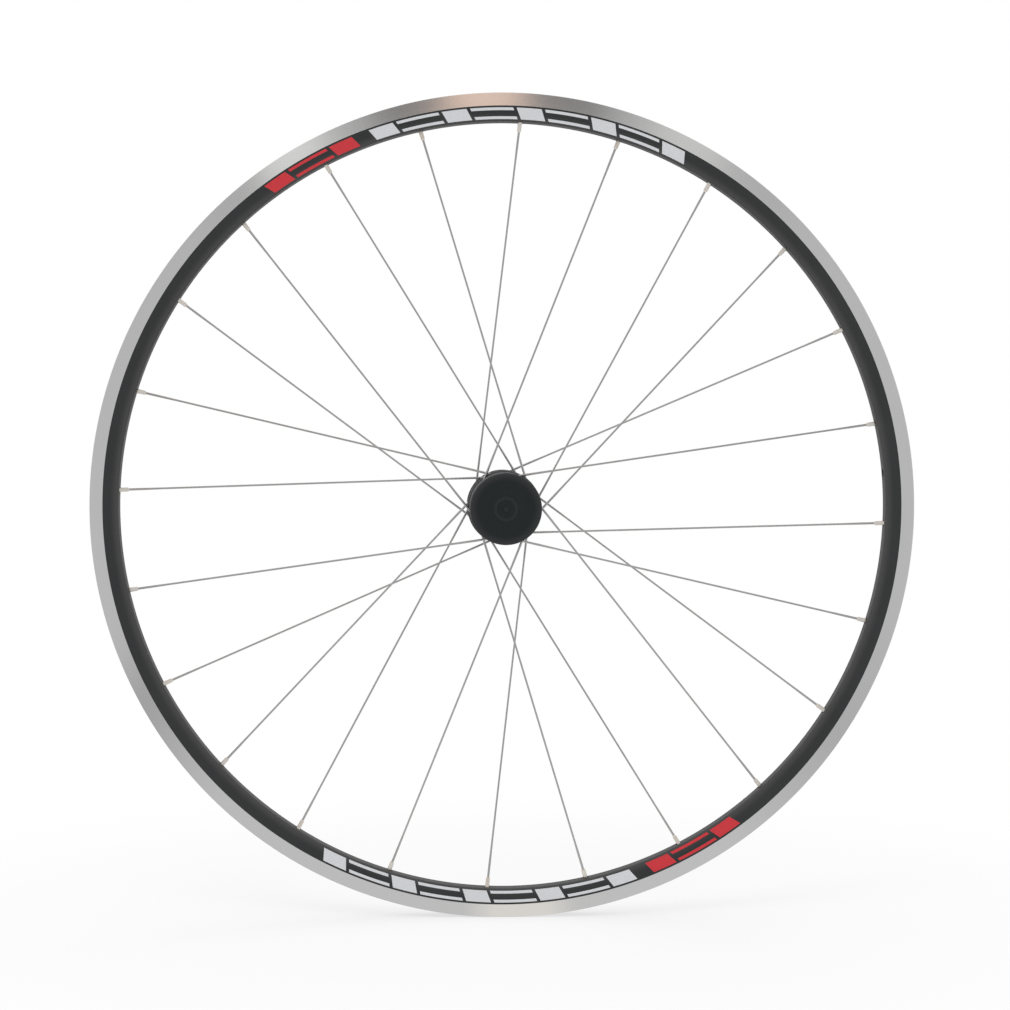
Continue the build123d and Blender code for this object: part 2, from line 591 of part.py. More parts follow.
with BuildPart() as freehub_body:
    with BuildSketch(Plane.XY):
        with BuildLine():
            Polyline(
                (LOCKRING_BORE_R, FREEHUB_END_Y),
                (SPLINE_ROOT_R, FREEHUB_END_Y),
                (SPLINE_ROOT_R, STOP_FLANGE_OUT_Y),
                (STOP_FLANGE_R, STOP_FLANGE_OUT_Y),
                (STOP_FLANGE_R, STOP_FLANGE_IN_Y),
                (NOSE_R, STOP_FLANGE_IN_Y),
                (NOSE_R, NOSE_END_Y),
                (NOSE_BORE_R, NOSE_END_Y),
                (NOSE_BORE_R, FREEHUB_SHOULDER_Y),
                (BEARING_R, FREEHUB_SHOULDER_Y),
                (BEARING_R, LOCKRING_BORE_Y),
                (LOCKRING_BORE_R, LOCKRING_BORE_Y),
                close=True,
            )
        make_face()
    revolve(axis=Axis.Y)
    with BuildSketch(across(STOP_FLANGE_OUT_Y)):
        with PolarLocations(
            rib_middle_r, wide_count, NARROW_SPLINE_ANGLE + SPLINE_PITCH, wide_count * SPLINE_PITCH
        ):
            Rectangle(rib_h, SPLINE_W)
        with PolarLocations(rib_middle_r, 1, NARROW_SPLINE_ANGLE):
            Rectangle(rib_h, NARROW_SPLINE_W)
        Circle(SPLINE_TIP_R, mode=Mode.INTERSECT)
    extrude(amount=SPLINE_L)
    for pawl_angle in PAWL_ANGLES:
        with BuildSketch(across(PAWL_IN_Y + POCKET_END_GAP, pawl_angle)):
            with BuildLine():
                Polyline(
                    (PAWL_PIVOT_R, 0),
                    (NOSE_R + CUT_MARGIN, 0),
                    (NOSE_R + CUT_MARGIN, -POCKET_REACH),
                    (pocket_floor_r(POCKET_REACH), -POCKET_REACH),
                    (pocket_floor_r(POCKET_BACK[1]), -POCKET_BACK[1]),
                    close=True,
                )
            make_face()
            with Locations((PAWL_PIVOT_R, 0)):
                Circle(PAWL_KNUCKLE_R + PAWL_KNUCKLE_GAP)
        extrude(amount=pawl_w + 2 * POCKET_END_GAP, mode=Mode.SUBTRACT)
freehub_body.part.label = "freehub_body"
export_step(freehub_body.part, "parts/freehub_body.step")

# Pawls: a round knuckle in the pocket and a tip that stands in a tooth space
sweep_angle = radians(PAWL_SWEEP)
tip_high = (PAWL_TIP_R * cos(sweep_angle), -PAWL_TIP_R * sin(sweep_angle))
tip_low = (PAWL_TIP_LOW_R * cos(sweep_angle), -PAWL_TIP_LOW_R * sin(sweep_angle))
for number, pawl_angle in enumerate(PAWL_ANGLES, start=1):
    with BuildPart() as pawl:
        with BuildSketch(across(PAWL_IN_Y, pawl_angle)):
            with BuildLine():
                Polyline(
                    (PAWL_PIVOT_R + PAWL_KNUCKLE_R, 0),
                    tip_high,
                    tip_low,
                    (PAWL_PIVOT_R - PAWL_HEEL[0], -PAWL_HEEL[1]),
                    (PAWL_PIVOT_R, 0),
                    close=True,
                )
            make_face()
            with Locations((PAWL_PIVOT_R, 0)):
                Circle(PAWL_KNUCKLE_R)
        extrude(amount=pawl_w)
    pawl.part.label = f"pawl_{number}"
    export_step(pawl.part, f"parts/pawl_{number}.step")

# Pawl springs: one leaf on the floor of each pocket
spring_start = POCKET_BACK[1] + SPRING_START
spring_end = POCKET_REACH - SPRING_END_GAP
start_r = pocket_floor_r(spring_start) + SPRING_GAP
end_r = pocket_floor_r(spring_end) + SPRING_GAP
with BuildPart() as pawl_springs:
    for pawl_angle in PAWL_ANGLES:
        with BuildSketch(across(PAWL_IN_Y, pawl_angle)):
            with BuildLine():
                Polyline(
                    (start_r, -spring_start),
                    (end_r, -spring_end),
                    (end_r + SPRING_T, -spring_end),
                    (start_r + SPRING_T, -spring_start),
                    close=True,
                )
            make_face()
        extrude(amount=pawl_w)
pawl_springs.part.label = "pawl_springs"
export_step(pawl_springs.part, "parts/pawl_springs.step")

# Rubber seals
with BuildPart() as seal_left:
    with BuildSketch(across(LEFT_SEAL_OUT_Y)):
        Circle(BEARING_R - SEAL_EDGE_GAP)
        Circle(SLEEVE_R + SEAT_GAP, mode=Mode.SUBTRACT)
    extrude(amount=SEAL_T)
seal_left.part.label = "seal_left"
export_step(seal_left.part, "parts/seal_left.step")

with BuildPart() as seal_freehub:
    with BuildSketch(across(FREEHUB_SEAL_IN_Y)):
        Circle(RECESS_R - SEAL_EDGE_GAP)
        Circle(NOSE_R + SEAT_GAP, mode=Mode.SUBTRACT)
    extrude(amount=SEAL_T)
seal_freehub.part.label = "seal_freehub"
export_step(seal_freehub.part, "parts/seal_freehub.step")

# Cover: a thin cup whose inner collar grips the spline tips
with BuildPart() as freehub_cover:
    with BuildSketch(Plane.XY) as cover_section:
        with BuildLine():
            Polyline(
                (0, COVER_FRONT_Y + COVER_DIMPLE_DEPTH),
                (COVER_DIMPLE_R, COVER_FRONT_Y + COVER_DIMPLE_DEPTH),
                (COVER_DIMPLE_R, COVER_FRONT_Y),
                (COVER_R, COVER_FRONT_Y),
                (COVER_R, COVER_MOUTH_Y),
                (COVER_CUP_R, COVER_MOUTH_Y),
                (COVER_CUP_R, COVER_PLATE_Y),
                (COVER_COLLAR_R + COVER_COLLAR_WALL, COVER_PLATE_Y),
                (COVER_COLLAR_R + COVER_COLLAR_WALL, COVER_COLLAR_Y),
                (COVER_COLLAR_R, COVER_COLLAR_Y),
                (COVER_COLLAR_R, COVER_PLATE_Y),
                (0, COVER_PLATE_Y),
                close=True,
            )
        make_face()
        fillet(cover_section.vertices().group_by(Axis.X)[-1].sort_by(Axis.Y)[0], COVER_EDGE_FILLET)
        with Locations((COVER_RING_R, COVER_FRONT_Y)):
            Rectangle(COVER_RING_W, 2 * COVER_RING_H)
    revolve(axis=Axis.Y)
freehub_cover.part.label = "freehub_cover"
export_step(freehub_cover.part, "parts/freehub_cover.step")
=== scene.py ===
"""Rear road bicycle wheel for rim brakes: its finished pieces and materials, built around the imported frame.

The axle lies along Y, the wheel stands in the XZ plane and the drive side faces -Y. Pieces are shaped in
millimetres about the wheel's centre and scaled to metres when they are finished.
"""

import logging
from abc import ABC, abstractmethod
from collections.abc import Callable, Iterator, Sequence
from dataclasses import dataclass, field
from enum import Enum
from math import cos, hypot, pi, radians, sin, tan

import bmesh
import bpy
from bmesh.types import BMEdge, BMesh, BMFace, BMVert
from mathutils import Matrix, Vector


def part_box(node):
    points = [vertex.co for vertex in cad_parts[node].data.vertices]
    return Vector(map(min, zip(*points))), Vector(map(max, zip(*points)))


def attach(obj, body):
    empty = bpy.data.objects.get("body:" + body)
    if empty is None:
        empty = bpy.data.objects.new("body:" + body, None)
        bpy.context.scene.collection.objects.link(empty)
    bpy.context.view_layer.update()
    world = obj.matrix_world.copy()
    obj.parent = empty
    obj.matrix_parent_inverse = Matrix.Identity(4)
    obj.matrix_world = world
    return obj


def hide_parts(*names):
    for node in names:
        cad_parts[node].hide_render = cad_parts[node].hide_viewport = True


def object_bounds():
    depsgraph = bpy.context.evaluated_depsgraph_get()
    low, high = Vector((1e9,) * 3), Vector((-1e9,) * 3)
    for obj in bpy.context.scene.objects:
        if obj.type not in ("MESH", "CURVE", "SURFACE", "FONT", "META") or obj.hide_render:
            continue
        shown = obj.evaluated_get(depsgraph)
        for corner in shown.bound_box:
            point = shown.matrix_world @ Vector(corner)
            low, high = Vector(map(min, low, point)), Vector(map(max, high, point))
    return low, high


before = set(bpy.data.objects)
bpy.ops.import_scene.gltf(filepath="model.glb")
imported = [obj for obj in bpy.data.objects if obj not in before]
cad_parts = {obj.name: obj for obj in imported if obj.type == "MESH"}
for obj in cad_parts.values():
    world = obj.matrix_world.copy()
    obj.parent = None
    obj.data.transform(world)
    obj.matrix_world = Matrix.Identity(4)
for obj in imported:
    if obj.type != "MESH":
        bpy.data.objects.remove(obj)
CAD_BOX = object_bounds()

LOG = logging.getLogger("wheel")

MM = 0.001
FULL_TURN = 2 * pi
CENTRE = Vector((0.0, 0.0, 0.0))
AXIAL = Vector((0.0, 1.0, 0.0))
DOWN = Vector((0.0, 0.0, -1.0))
TOUCH = 1e-4
ROUND_STEPS = 3
SOFT_STEPS = 2
SMOOTH_ANGLE = radians(32)
FLAT_ANGLE = radians(0.5)
HEX_SIDES = 6
HEX_TURN = radians(30)

Socket = bpy.types.NodeSocket
Inputs = bpy.types.bpy_prop_collection
Colour = tuple[float, float, float]
Span = tuple[float, float]

WHITE: Colour = (1.0, 1.0, 1.0)


def grey(level: float) -> Colour:
    """Return the grey of a level."""
    return (level, level, level)


def on_wheel(radius: float, degrees: float, y: float) -> Vector:
    """Return the point at a radius and angle about the axle, at the distance y along it."""
    return Vector((radius * cos(radians(degrees)), y, radius * sin(radians(degrees))))


def placed(origin: Vector, z_dir: Vector, x_dir: Vector) -> Matrix:
    """Return the placement with its origin at a point and its Z and X axes along two directions.

    Args:
        origin: Where the placement's own origin goes.
        z_dir: The direction of its Z axis.
        x_dir: The direction of its X axis, made square to Z.

    Returns:
        A 4 x 4 matrix.
    """
    z_axis = z_dir.normalized()
    x_axis = (x_dir - z_axis * x_dir.dot(z_axis)).normalized()
    y_axis = z_axis.cross(x_axis)
    turn = Matrix((x_axis, y_axis, z_axis)).transposed()
    return Matrix.Translation(origin) @ turn.to_4x4()


def show(name: str, data: bpy.types.ID) -> bpy.types.Object:
    """Make an object of a mesh, a lamp or a camera and link it to the scene.

    Args:
        name: The object's name.
        data: The mesh, lamp or camera.

    Returns:
        The new object.
    """
    made = bpy.data.objects.new(name, data)
    bpy.context.scene.collection.objects.link(made)
    return made


def round_off(
    bm: BMesh,
    geom: Sequence[BMEdge | BMVert],
    width: float,
    steps: int,
    affect: str = "EDGES",
    clamp: bool = False,
) -> None:
    """Round some edges or corners of a mesh.

    Args:
        bm: The mesh.
        geom: The edges or the corner points.
        width: How far from them the rounding starts.
        steps: How many facets it has.
        affect: EDGES for edges, VERTICES for corner points.
        clamp: True to keep the roundings from running into each other.
    """
    bmesh.ops.bevel(
        bm,
        geom=geom,
        offset=width,
        offset_type="OFFSET",
        segments=steps,
        profile=0.5,
        affect=affect,
        clamp_overlap=clamp,
        material=-1,
    )


@dataclass(frozen=True)
class Corner:
    """A corner of a turned section: its radius, its place along the axle, and where its rounding starts."""

    r: float
    y: float
    setback: float = 0.0


class Workpiece:
    """A mesh being shaped in millimetres, with the operations that the wheel's pieces share."""

    def __init__(self) -> None:
        """Start with an empty mesh."""
        self.bm: BMesh = bmesh.new()

    def turn(self, corners: Sequence[Corner], steps: int, cavity: bool = False) -> None:
        """Round a section's corners, turn it about the axle and add it as a closed shell.

        Args:
            corners: The section's corners in order, in a half plane through the axle.
            steps: How many facets the full turn has.
            cavity: True for the wall of a closed hollow, whose faces point into it.
        """
        turned = bmesh.new()
        verts = [turned.verts.new((corner.r, corner.y, 0.0)) for corner in corners]
        turned.faces.new(verts)
        for setback in sorted({corner.setback for corner in corners} - {0.0}):
            alike = [vert for vert, corner in zip(verts, corners) if corner.setback == setback]
            round_off(turned, alike, setback, ROUND_STEPS, "VERTICES")
        bmesh.ops.delete(turned, geom=turned.faces[:], context="FACES_ONLY")
        on_axis = [edge for edge in turned.edges if all(vert.co.x < TOUCH for vert in edge.verts)]
        bmesh.ops.delete(turned, geom=on_axis, context="EDGES")
        bmesh.ops.spin(
            turned,
            geom=turned.verts[:] + turned.edges[:],
            cent=CENTRE,
            axis=AXIAL,
            angle=FULL_TURN,
            steps=steps,
            use_merge=True,
        )
        bmesh.ops.remove_doubles(turned, verts=turned.verts[:], dist=TOUCH)
        bmesh.ops.recalc_face_normals(turned, faces=turned.faces[:])
        if cavity:
            bmesh.ops.reverse_faces(turned, faces=turned.faces[:])
        self.take(turned)

    def take(self, other: BMesh, place: Matrix | None = None) -> None:
        """Add another mesh to this one and free it.

        Args:
            other: The mesh to add.
            place: Where its own origin goes, if it moves.
        """
        if place is not None:
            bmesh.ops.transform(other, matrix=place, verts=other.verts[:])
        carrier = bpy.data.meshes.new("carrier")
        other.to_mesh(carrier)
        other.free()
        self.bm.from_mesh(carrier)
        bpy.data.meshes.remove(carrier)

    def take_node(self, node: str) -> None:
        """Add a merged copy of a CAD node's mesh, in millimetres.

        Args:
            node: The node's name.
        """
        copy = bmesh.new()
        copy.from_mesh(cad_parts[node].data)
        bmesh.ops.scale(copy, vec=(1 / MM,) * 3, verts=copy.verts[:])
        bmesh.ops.remove_doubles(copy, verts=copy.verts[:], dist=TOUCH)
        self.take(copy)

    def soften(self, sharper_than: float, width: float) -> None:
        """Bevel the sharp edges.

        Args:
            sharper_than: The angle in radians from which an edge counts as sharp.
            width: How far from the edge the bevel starts.
        """
        bmesh.ops.dissolve_limit(
            self.bm, angle_limit=FLAT_ANGLE, verts=self.bm.verts[:], edges=self.bm.edges[:]
        )
        sharp = [edge for edge in self.bm.edges if edge.calc_face_angle(0.0) > sharper_than]
        round_off(self.bm, sharp, width, SOFT_STEPS, clamp=True)

    def to_object(self, name: str) -> bpy.types.Object:
        """Make the mesh an object in metres.

        Args:
            name: The object's name.

        Returns:
            The new object, smooth except at its sharp edges.
        """
        bmesh.ops.scale(self.bm, vec=(MM, MM, MM), verts=self.bm.verts[:])
        mesh = bpy.data.meshes.new(name)
        self.bm.to_mesh(mesh)
        self.bm.free()
        made = show(name, mesh)
        smooth(made)
        return made


class Loft:
    """A ring of edges that is drawn along and bent to sweep a wire or a drill's shape."""

    def __init__(self, start: Vector, heading: Vector, radius: float, sides: int) -> None:
        """Lay the first ring and close it.

        Args:
            start: The ring's centre.
            heading: The direction in which the ring is first drawn.
            radius: The ring's radius.
            sides: How many sides it has.
        """
        self.bm: BMesh = bmesh.new()
        self.centre = start.copy()
        self.heading = heading.normalized()
        self.radius = radius
        place = placed(start, heading, heading.orthogonal())
        made = bmesh.ops.create_circle(
            self.bm, cap_ends=True, segments=sides, radius=radius, matrix=place
        )
        edges = (edge for vert in made["verts"] for edge in vert.link_edges)
        self.ring: list[BMEdge] = list(dict.fromkeys(edges))

    def push(self, length: float, radius: float | None = None) -> None:
        """Draw the ring along its heading.

        Args:
            length: How far it is drawn.
            radius: Its new radius, if that changes.
        """
        made = bmesh.ops.extrude_edge_only(self.bm, edges=self.ring)["geom"]
        verts = [item for item in made if isinstance(item, BMVert)]
        self.ring = [edge for edge in made if isinstance(edge, BMEdge) and set(edge.verts) <= set(verts)]
        step = self.heading * length
        bmesh.ops.translate(self.bm, vec=step, verts=verts)
        self.centre += step
        if radius is not None:
            share = radius / self.radius
            about = Matrix.Translation(-self.centre)
            bmesh.ops.scale(self.bm, vec=(share,) * 3, space=about, verts=verts)
            self.radius = radius

    def bend(self, heading: Vector, bend_radius: float, steps: int) -> None:
        """Bend the ring round to a new heading.

        Args:
            heading: The direction in which it leaves the bend.
            bend_radius: The radius of the bend's middle line.
            steps: How many steps the bend is made in.
        """
        axis = self.heading.cross(heading).normalized()
        pivot = self.centre + axis.cross(self.heading) * bend_radius
        angle = self.heading.angle(heading)
        made = bmesh.ops.spin(
            self.bm, geom=self.ring, cent=pivot, axis=axis, angle=angle, steps=steps
        )["geom_last"]
        self.ring = [item for item in made if isinstance(item, BMEdge)]
        self.centre = pivot + Matrix.Rotation(angle, 3, axis) @ (self.centre - pivot)
        self.heading = heading.normalized()

    def close(self) -> BMesh:
        """Close the last ring.

        Returns:
            The swept mesh with its faces outwards.
        """
        bmesh.ops.edgeloop_fill(self.bm, edges=self.ring)
        bmesh.ops.recalc_face_normals(self.bm, faces=self.bm.faces[:])
        return self.bm


def smooth(made: bpy.types.Object) -> None:
    """Shade a piece smooth, with hard lines at its sharp edges."""
    made.data.shade_smooth()
    made.data.set_sharp_from_angle(angle=SMOOTH_ANGLE)


def even_shading(made: bpy.types.Object) -> None:
    """Weight a piece's normals by face area, so that flats next to small roundings stay flat."""
    weighted = made.modifiers.new("even_shading", "WEIGHTED_NORMAL")
    weighted.keep_sharp = True


def bore(made: bpy.types.Object, drill: Workpiece) -> None:
    """Cut a drill's shapes out of a piece and keep the result as its mesh.

    Args:
        made: The piece to drill.
        drill: The shapes of all the holes, which don't touch each other.
    """
    tool = drill.to_object(f"{made.name}_drill")
    cut = made.modifiers.new("holes", "BOOLEAN")
    cut.operation = "DIFFERENCE"
    cut.solver = "EXACT"
    cut.object = tool
    graph = bpy.context.evaluated_depsgraph_get()
    bored = bpy.data.meshes.new_from_object(made.evaluated_get(graph))
    made.modifiers.remove(cut)
    plain = made.data
    made.data = bored
    bpy.data.meshes.remove(plain)
    bored.name = made.name
    tool_mesh = tool.data
    bpy.data.objects.remove(tool)
    bpy.data.meshes.remove(tool_mesh)
    smooth(made)


def settle(
    made: bpy.types.Object,
    body: str,
    finishes: Sequence[bpy.types.Material],
    nodes: Sequence[str] = (),
) -> None:
    """Give a piece its materials and its place in the frame.

    Args:
        made: The piece.
        body: The CAD body that it rides on.
        finishes: Its materials, in the order of its faces' material numbers.
        nodes: The CAD nodes that it stands for.
    """
    for finish in finishes:
        made.data.materials.append(finish)
    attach(made, body)
    if nodes:
        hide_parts(*nodes)
    LOG.info("%s rides on %s with %d faces", made.name, body, len(made.data.polygons))


class NodeBench:
    """A shader tree being wired: it places nodes, sets their values and joins their sockets."""

    def __init__(self, tree: bpy.types.NodeTree) -> None:
        """Work on a tree."""
        self.tree = tree

    def node(self, kind: str, **settings: object) -> bpy.types.Node:
        """Place a node and set its properties.

        Args:
            kind: The node's type.
            **settings: Its properties and their values.

        Returns:
            The new node.
        """
        made = self.tree.nodes.new(kind)
        for key, value in settings.items():
            setattr(made, key, value)
        return made

    def feed(self, socket: Socket, source: Socket | float | Sequence[float]) -> None:
        """Join a source to a socket, or set the socket's own value.

        Args:
            socket: The input to feed.
            source: An output to join, or the value to set.
        """
        if isinstance(source, Socket):
            self.tree.links.new(source, socket)
        else:
            socket.default_value = source

    def math(self, operation: str, *sources: Socket | float) -> Socket:
        """Work something out with a Math node.

        Args:
            operation: What the node works out.
            *sources: Its inputs in order.

        Returns:
            The result.
        """
        made = self.node("ShaderNodeMath", operation=operation)
        for socket, source in zip(made.inputs, sources):
            self.feed(socket, source)
        return made.outputs[0]

    def remap(self, value: Socket, low: float, high: float) -> Socket:
        """Stretch a value of 0 to 1 to another range.

        Args:
            value: The value.
            low: What 0 becomes.
            high: What 1 becomes.

        Returns:
            The stretched value.
        """
        made = self.node("ShaderNodeMapRange")
        self.feed(made.inputs["Value"], value)
        self.feed(made.inputs["To Min"], low)
        self.feed(made.inputs["To Max"], high)
        return made.outputs["Result"]

    def mix(self, share: Socket, low: Socket | Colour, high: Socket | Colour) -> Socket:
        """Mix two colours.

        Args:
            share: How much of the second there is, 0 to 1.
            low: The first colour.
            high: The second colour.

        Returns:
            The mixed colour.
        """
        made = self.node("ShaderNodeMix", data_type="RGBA")
        self.feed(made.inputs["Factor"], share)
        for socket, colour in ((made.inputs[6], low), (made.inputs[7], high)):
            self.feed(socket, colour if isinstance(colour, Socket) else (*colour, 1.0))
        return made.outputs[2]

    def step(
        self, value: Socket, start: float, end: float, low: float = 0.0, high: float = 1.0
    ) -> Socket:
        """Step smoothly from one level to another.

        Args:
            value: The value that decides.
            start: Where the step starts.
            end: Where it ends.
            low: The level before it.
            high: The level after it.

        Returns:
            The level at the value.
        """
        made = self.node("ShaderNodeMapRange", interpolation_type="SMOOTHSTEP")
        for socket, number in zip(made.inputs, (value, start, end, low, high)):
            self.feed(socket, number)
        return made.outputs["Result"]

    def place(self) -> Socket:
        """Return the Object coordinates."""
        return self.node("ShaderNodeTexCoord").outputs["Object"]

    def split(self, vector: Socket) -> Sequence[Socket]:
        """Split a vector.

        Args:
            vector: The vector.

        Returns:
            Its X, Y and Z.
        """
        made = self.node("ShaderNodeSeparateXYZ")
        self.feed(made.inputs[0], vector)
        return made.outputs[:]

    def off_axis(self, x: Socket, z: Socket) -> Socket:
        """Return the distance of a point from the line through the origin along Y."""
        squares = self.math("ADD", self.math("MULTIPLY", x, x), self.math("MULTIPLY", z, z))
        return self.math("SQRT", squares)

    def noise(self, where: Socket, scale: float | Socket, detail: float) -> Socket:
        """Draw solid noise.

        Args:
            where: The place at which it is read.
            scale: How fine it is.
            detail: How many finer layers it has.

        Returns:
            The noise, 0 to 1.
        """
        made = self.node("ShaderNodeTexNoise")
        self.feed(made.inputs["Vector"], where)
        self.feed(made.inputs["Scale"], scale)
        self.feed(made.inputs["Detail"], detail)
        return made.outputs["Fac"]

    def group(self, effect: bpy.types.NodeTree, **values: float) -> Socket:
        """Place a node group.

        Args:
            effect: The group's tree.
            **values: Its inputs.

        Returns:
            The group's first output.
        """
        made = self.node("ShaderNodeGroup", node_tree=effect)
        for key, value in values.items():
            self.feed(made.inputs[key], value)
        return made.outputs[0]

    def bump(self, height: Socket, strength: float, distance: float) -> Socket:
        """Roughen a surface.

        Args:
            height: How high each point stands, 0 to 1.
            strength: How much of that shows.
            distance: The depth of the relief in metres.

        Returns:
            The roughened surface's normal.
        """
        made = self.node("ShaderNodeBump")
        self.feed(made.inputs["Strength"], strength)
        self.feed(made.inputs["Distance"], distance)
        self.feed(made.inputs["Height"], height)
        return made.outputs["Normal"]


class Effects:
    """The node groups that several finishes share, built once."""

    AXIAL_RUN = 0.73
    WAVER_SCALE = 60.0
    FINE_DETAIL = 2.0
    LINE_DETAIL = 3.0
    PATCH_DETAIL = 4.0

    def __init__(self) -> None:
        """Build the three groups."""
        self.lathe_lines = self.build(
            "lathe_lines", {"Pitch": 0.0004, "Wander": 0.2}, self.draw_lathe_lines
        )
        self.grain = self.build("grain", {"Scale": 2000.0}, self.draw_grain)
        self.handling = self.build("handling", {"Scale": 30.0}, self.draw_handling)

    @staticmethod
    def build(
        name: str, inputs: dict[str, float], draw: Callable[[NodeBench, dict[str, Socket]], Socket]
    ) -> bpy.types.NodeTree:
        """Build a node group with one output.

        Args:
            name: The group's name.
            inputs: Its inputs and their first values.
            draw: The method that wires it and returns its result.

        Returns:
            The group's tree.
        """
        tree = bpy.data.node_groups.new(name, "ShaderNodeTree")
        for key, value in inputs.items():
            socket = tree.interface.new_socket(key, in_out="INPUT", socket_type="NodeSocketFloat")
            socket.default_value = value
        tree.interface.new_socket("Share", in_out="OUTPUT", socket_type="NodeSocketFloat")
        bench = NodeBench(tree)
        given = bench.node("NodeGroupInput").outputs
        result = draw(bench, {key: given[key] for key in inputs})
        bench.feed(bench.node("NodeGroupOutput").inputs["Share"], result)
        return tree

    def draw_lathe_lines(self, bench: NodeBench, given: dict[str, Socket]) -> Socket:
        """Wire the fine lines that a turning tool leaves round the axle.

        Args:
            bench: The group's tree.
            given: Its inputs by name.

        Returns:
            The lines, 0 to 1.
        """
        place = bench.place()
        x, y, z = bench.split(place)
        run = bench.math("MULTIPLY_ADD", y, self.AXIAL_RUN, bench.off_axis(x, z))
        waver = bench.noise(place, self.WAVER_SCALE, self.FINE_DETAIL)
        waver = bench.math("MULTIPLY", waver, given["Wander"])
        line = bench.math("ADD", bench.math("DIVIDE", run, given["Pitch"]), waver)
        made = bench.node("ShaderNodeTexNoise", noise_dimensions="1D")
        bench.feed(made.inputs["W"], line)
        bench.feed(made.inputs["Scale"], 1.0)
        bench.feed(made.inputs["Detail"], self.LINE_DETAIL)
        return made.outputs["Fac"]

    def draw_grain(self, bench: NodeBench, given: dict[str, Socket]) -> Socket:
        """Wire the even fine grain of a blasted, anodised or moulded surface."""
        return bench.noise(bench.place(), given["Scale"], self.FINE_DETAIL)

    def draw_handling(self, bench: NodeBench, given: dict[str, Socket]) -> Socket:
        """Wire the broad soft patches that hands and polishing leave."""
        return bench.noise(bench.place(), given["Scale"], self.PATCH_DETAIL)


@dataclass(frozen=True, kw_only=True)
class Finish(ABC):
    """A surface finish that makes one material.

    Its colour runs from low to high, gloss is the range of its roughness, and relief is the strength and the
    depth of its bumps in metres.
    """

    name: str
    low: Colour
    high: Colour
    gloss: Span
    relief: Span

    def material(self, effects: Effects) -> bpy.types.Material:
        """Make the material and wire its nodes.

        Args:
            effects: The shared node groups.

        Returns:
            The new material.
        """
        made = bpy.data.materials.new(self.name)
        made.use_nodes = True
        bench = NodeBench(made.node_tree)
        self.wire(bench, made.node_tree.nodes["Principled BSDF"].inputs, effects)
        return made

    @abstractmethod
    def wire(self, bench: NodeBench, shader: Inputs, effects: Effects) -> None:
        """Feed the Principled shader's inputs.

        Args:
            bench: The material's tree.
            shader: The Principled shader's inputs.
            effects: The shared node groups.
        """

    def tone(self, bench: NodeBench, share: Socket) -> Socket:
        """Return the colour between low and high at a share."""
        return bench.mix(share, self.low, self.high)

    def dress(self, bench: NodeBench, shader: Inputs, colour: Socket, shine: Socket, height: Socket) -> None:
        """Feed the colour, the gloss and the relief.

        Args:
            bench: The material's tree.
            shader: The Principled shader's inputs.
            colour: The surface's colour.
            shine: A share of 0 to 1 that spreads the roughness over its range.
            height: The height that makes the bumps.
        """
        bench.feed(shader["Base Color"], colour)
        bench.feed(shader["Roughness"], bench.remap(shine, *self.gloss))
        bench.feed(shader["Normal"], bench.bump(height, *self.relief))


@dataclass(frozen=True, kw_only=True)
class MachinedTrack(Finish):
    """Bare aluminium cut by a lathe on the rim's braking faces."""

    name: str = "machined_track"
    low: Colour = grey(0.63)
    high: Colour = grey(0.71)
    gloss: Span = (0.10, 0.14)
    relief: Span = (0.1, 0.00002)
    pitch: float = 0.0003
    wander: float = 0.15

    def wire(self, bench: NodeBench, shader: Inputs, effects: Effects) -> None:
        """Feed tool lines to the colour, the gloss and the relief, and stretch the gloss across them.

        Args:
            bench: The material's tree.
            shader: The Principled shader's inputs.
            effects: The shared node groups.
        """
        lines = bench.group(effects.lathe_lines, Pitch=self.pitch, Wander=self.wander)
        self.dress(bench, shader, self.tone(bench, lines), lines, lines)
        bench.feed(shader["Metallic"], 1.0)
        bench.feed(shader["Anisotropic"], 1.0)
        flat = bench.node("ShaderNodeVectorMath", operation="MULTIPLY")
        bench.feed(flat.inputs[0], bench.place())
        bench.feed(flat.inputs[1], (1.0, 0.0, 1.0))
        outward = bench.node("ShaderNodeVectorTransform", convert_from="OBJECT", convert_to="WORLD")
        bench.feed(outward.inputs[0], flat.outputs[0])
        unit = bench.node("ShaderNodeVectorMath", operation="NORMALIZE")
        bench.feed(unit.inputs[0], outward.outputs[0])
        bench.feed(shader["Tangent"], unit.outputs[0])


@dataclass(frozen=True, kw_only=True)
class Anodised(Finish):
    """Dyed anodic skin on aluminium with faint turning lines under it, and a painted sheen that makes it paler
    over a band of radius.
    """

    sheen_colour: Colour
    sheen_r: Span
    line_relief: float
    relief: Span = (0.18, 0.00004)
    specular: float = 0.16
    patch_scale: float = 22.0
    grain_scale: float = 2600.0
    pitch: float = 0.0006
    wander: float = 0.4

    def wire(self, bench: NodeBench, shader: Inputs, effects: Effects) -> None:
        """Feed patches and the painted sheen to the colour, grain to the gloss, and grain and tool lines to
        the relief.

        Args:
            bench: The material's tree.
            shader: The Principled shader's inputs.
            effects: The shared node groups.
        """
        patches = bench.group(effects.handling, Scale=self.patch_scale)
        grain = bench.group(effects.grain, Scale=self.grain_scale)
        lines = bench.group(effects.lathe_lines, Pitch=self.pitch, Wander=self.wander)
        x, _, z = bench.split(bench.place())
        # Painted sheen: the colour turns paler over a band of radius, in place of light caught by a curved
        # face.
        sheen_share = bench.step(bench.off_axis(x, z), *self.sheen_r)
        colour = bench.mix(sheen_share, self.tone(bench, patches), self.sheen_colour)
        self.dress(bench, shader, colour, grain, bench.math("MULTIPLY_ADD", lines, self.line_relief, grain))
        bench.feed(shader["Specular IOR Level"], self.specular)


class Film(Enum):
    """The colours of the printed film on the rim."""

    WHITE = "white"
    RED = "red"


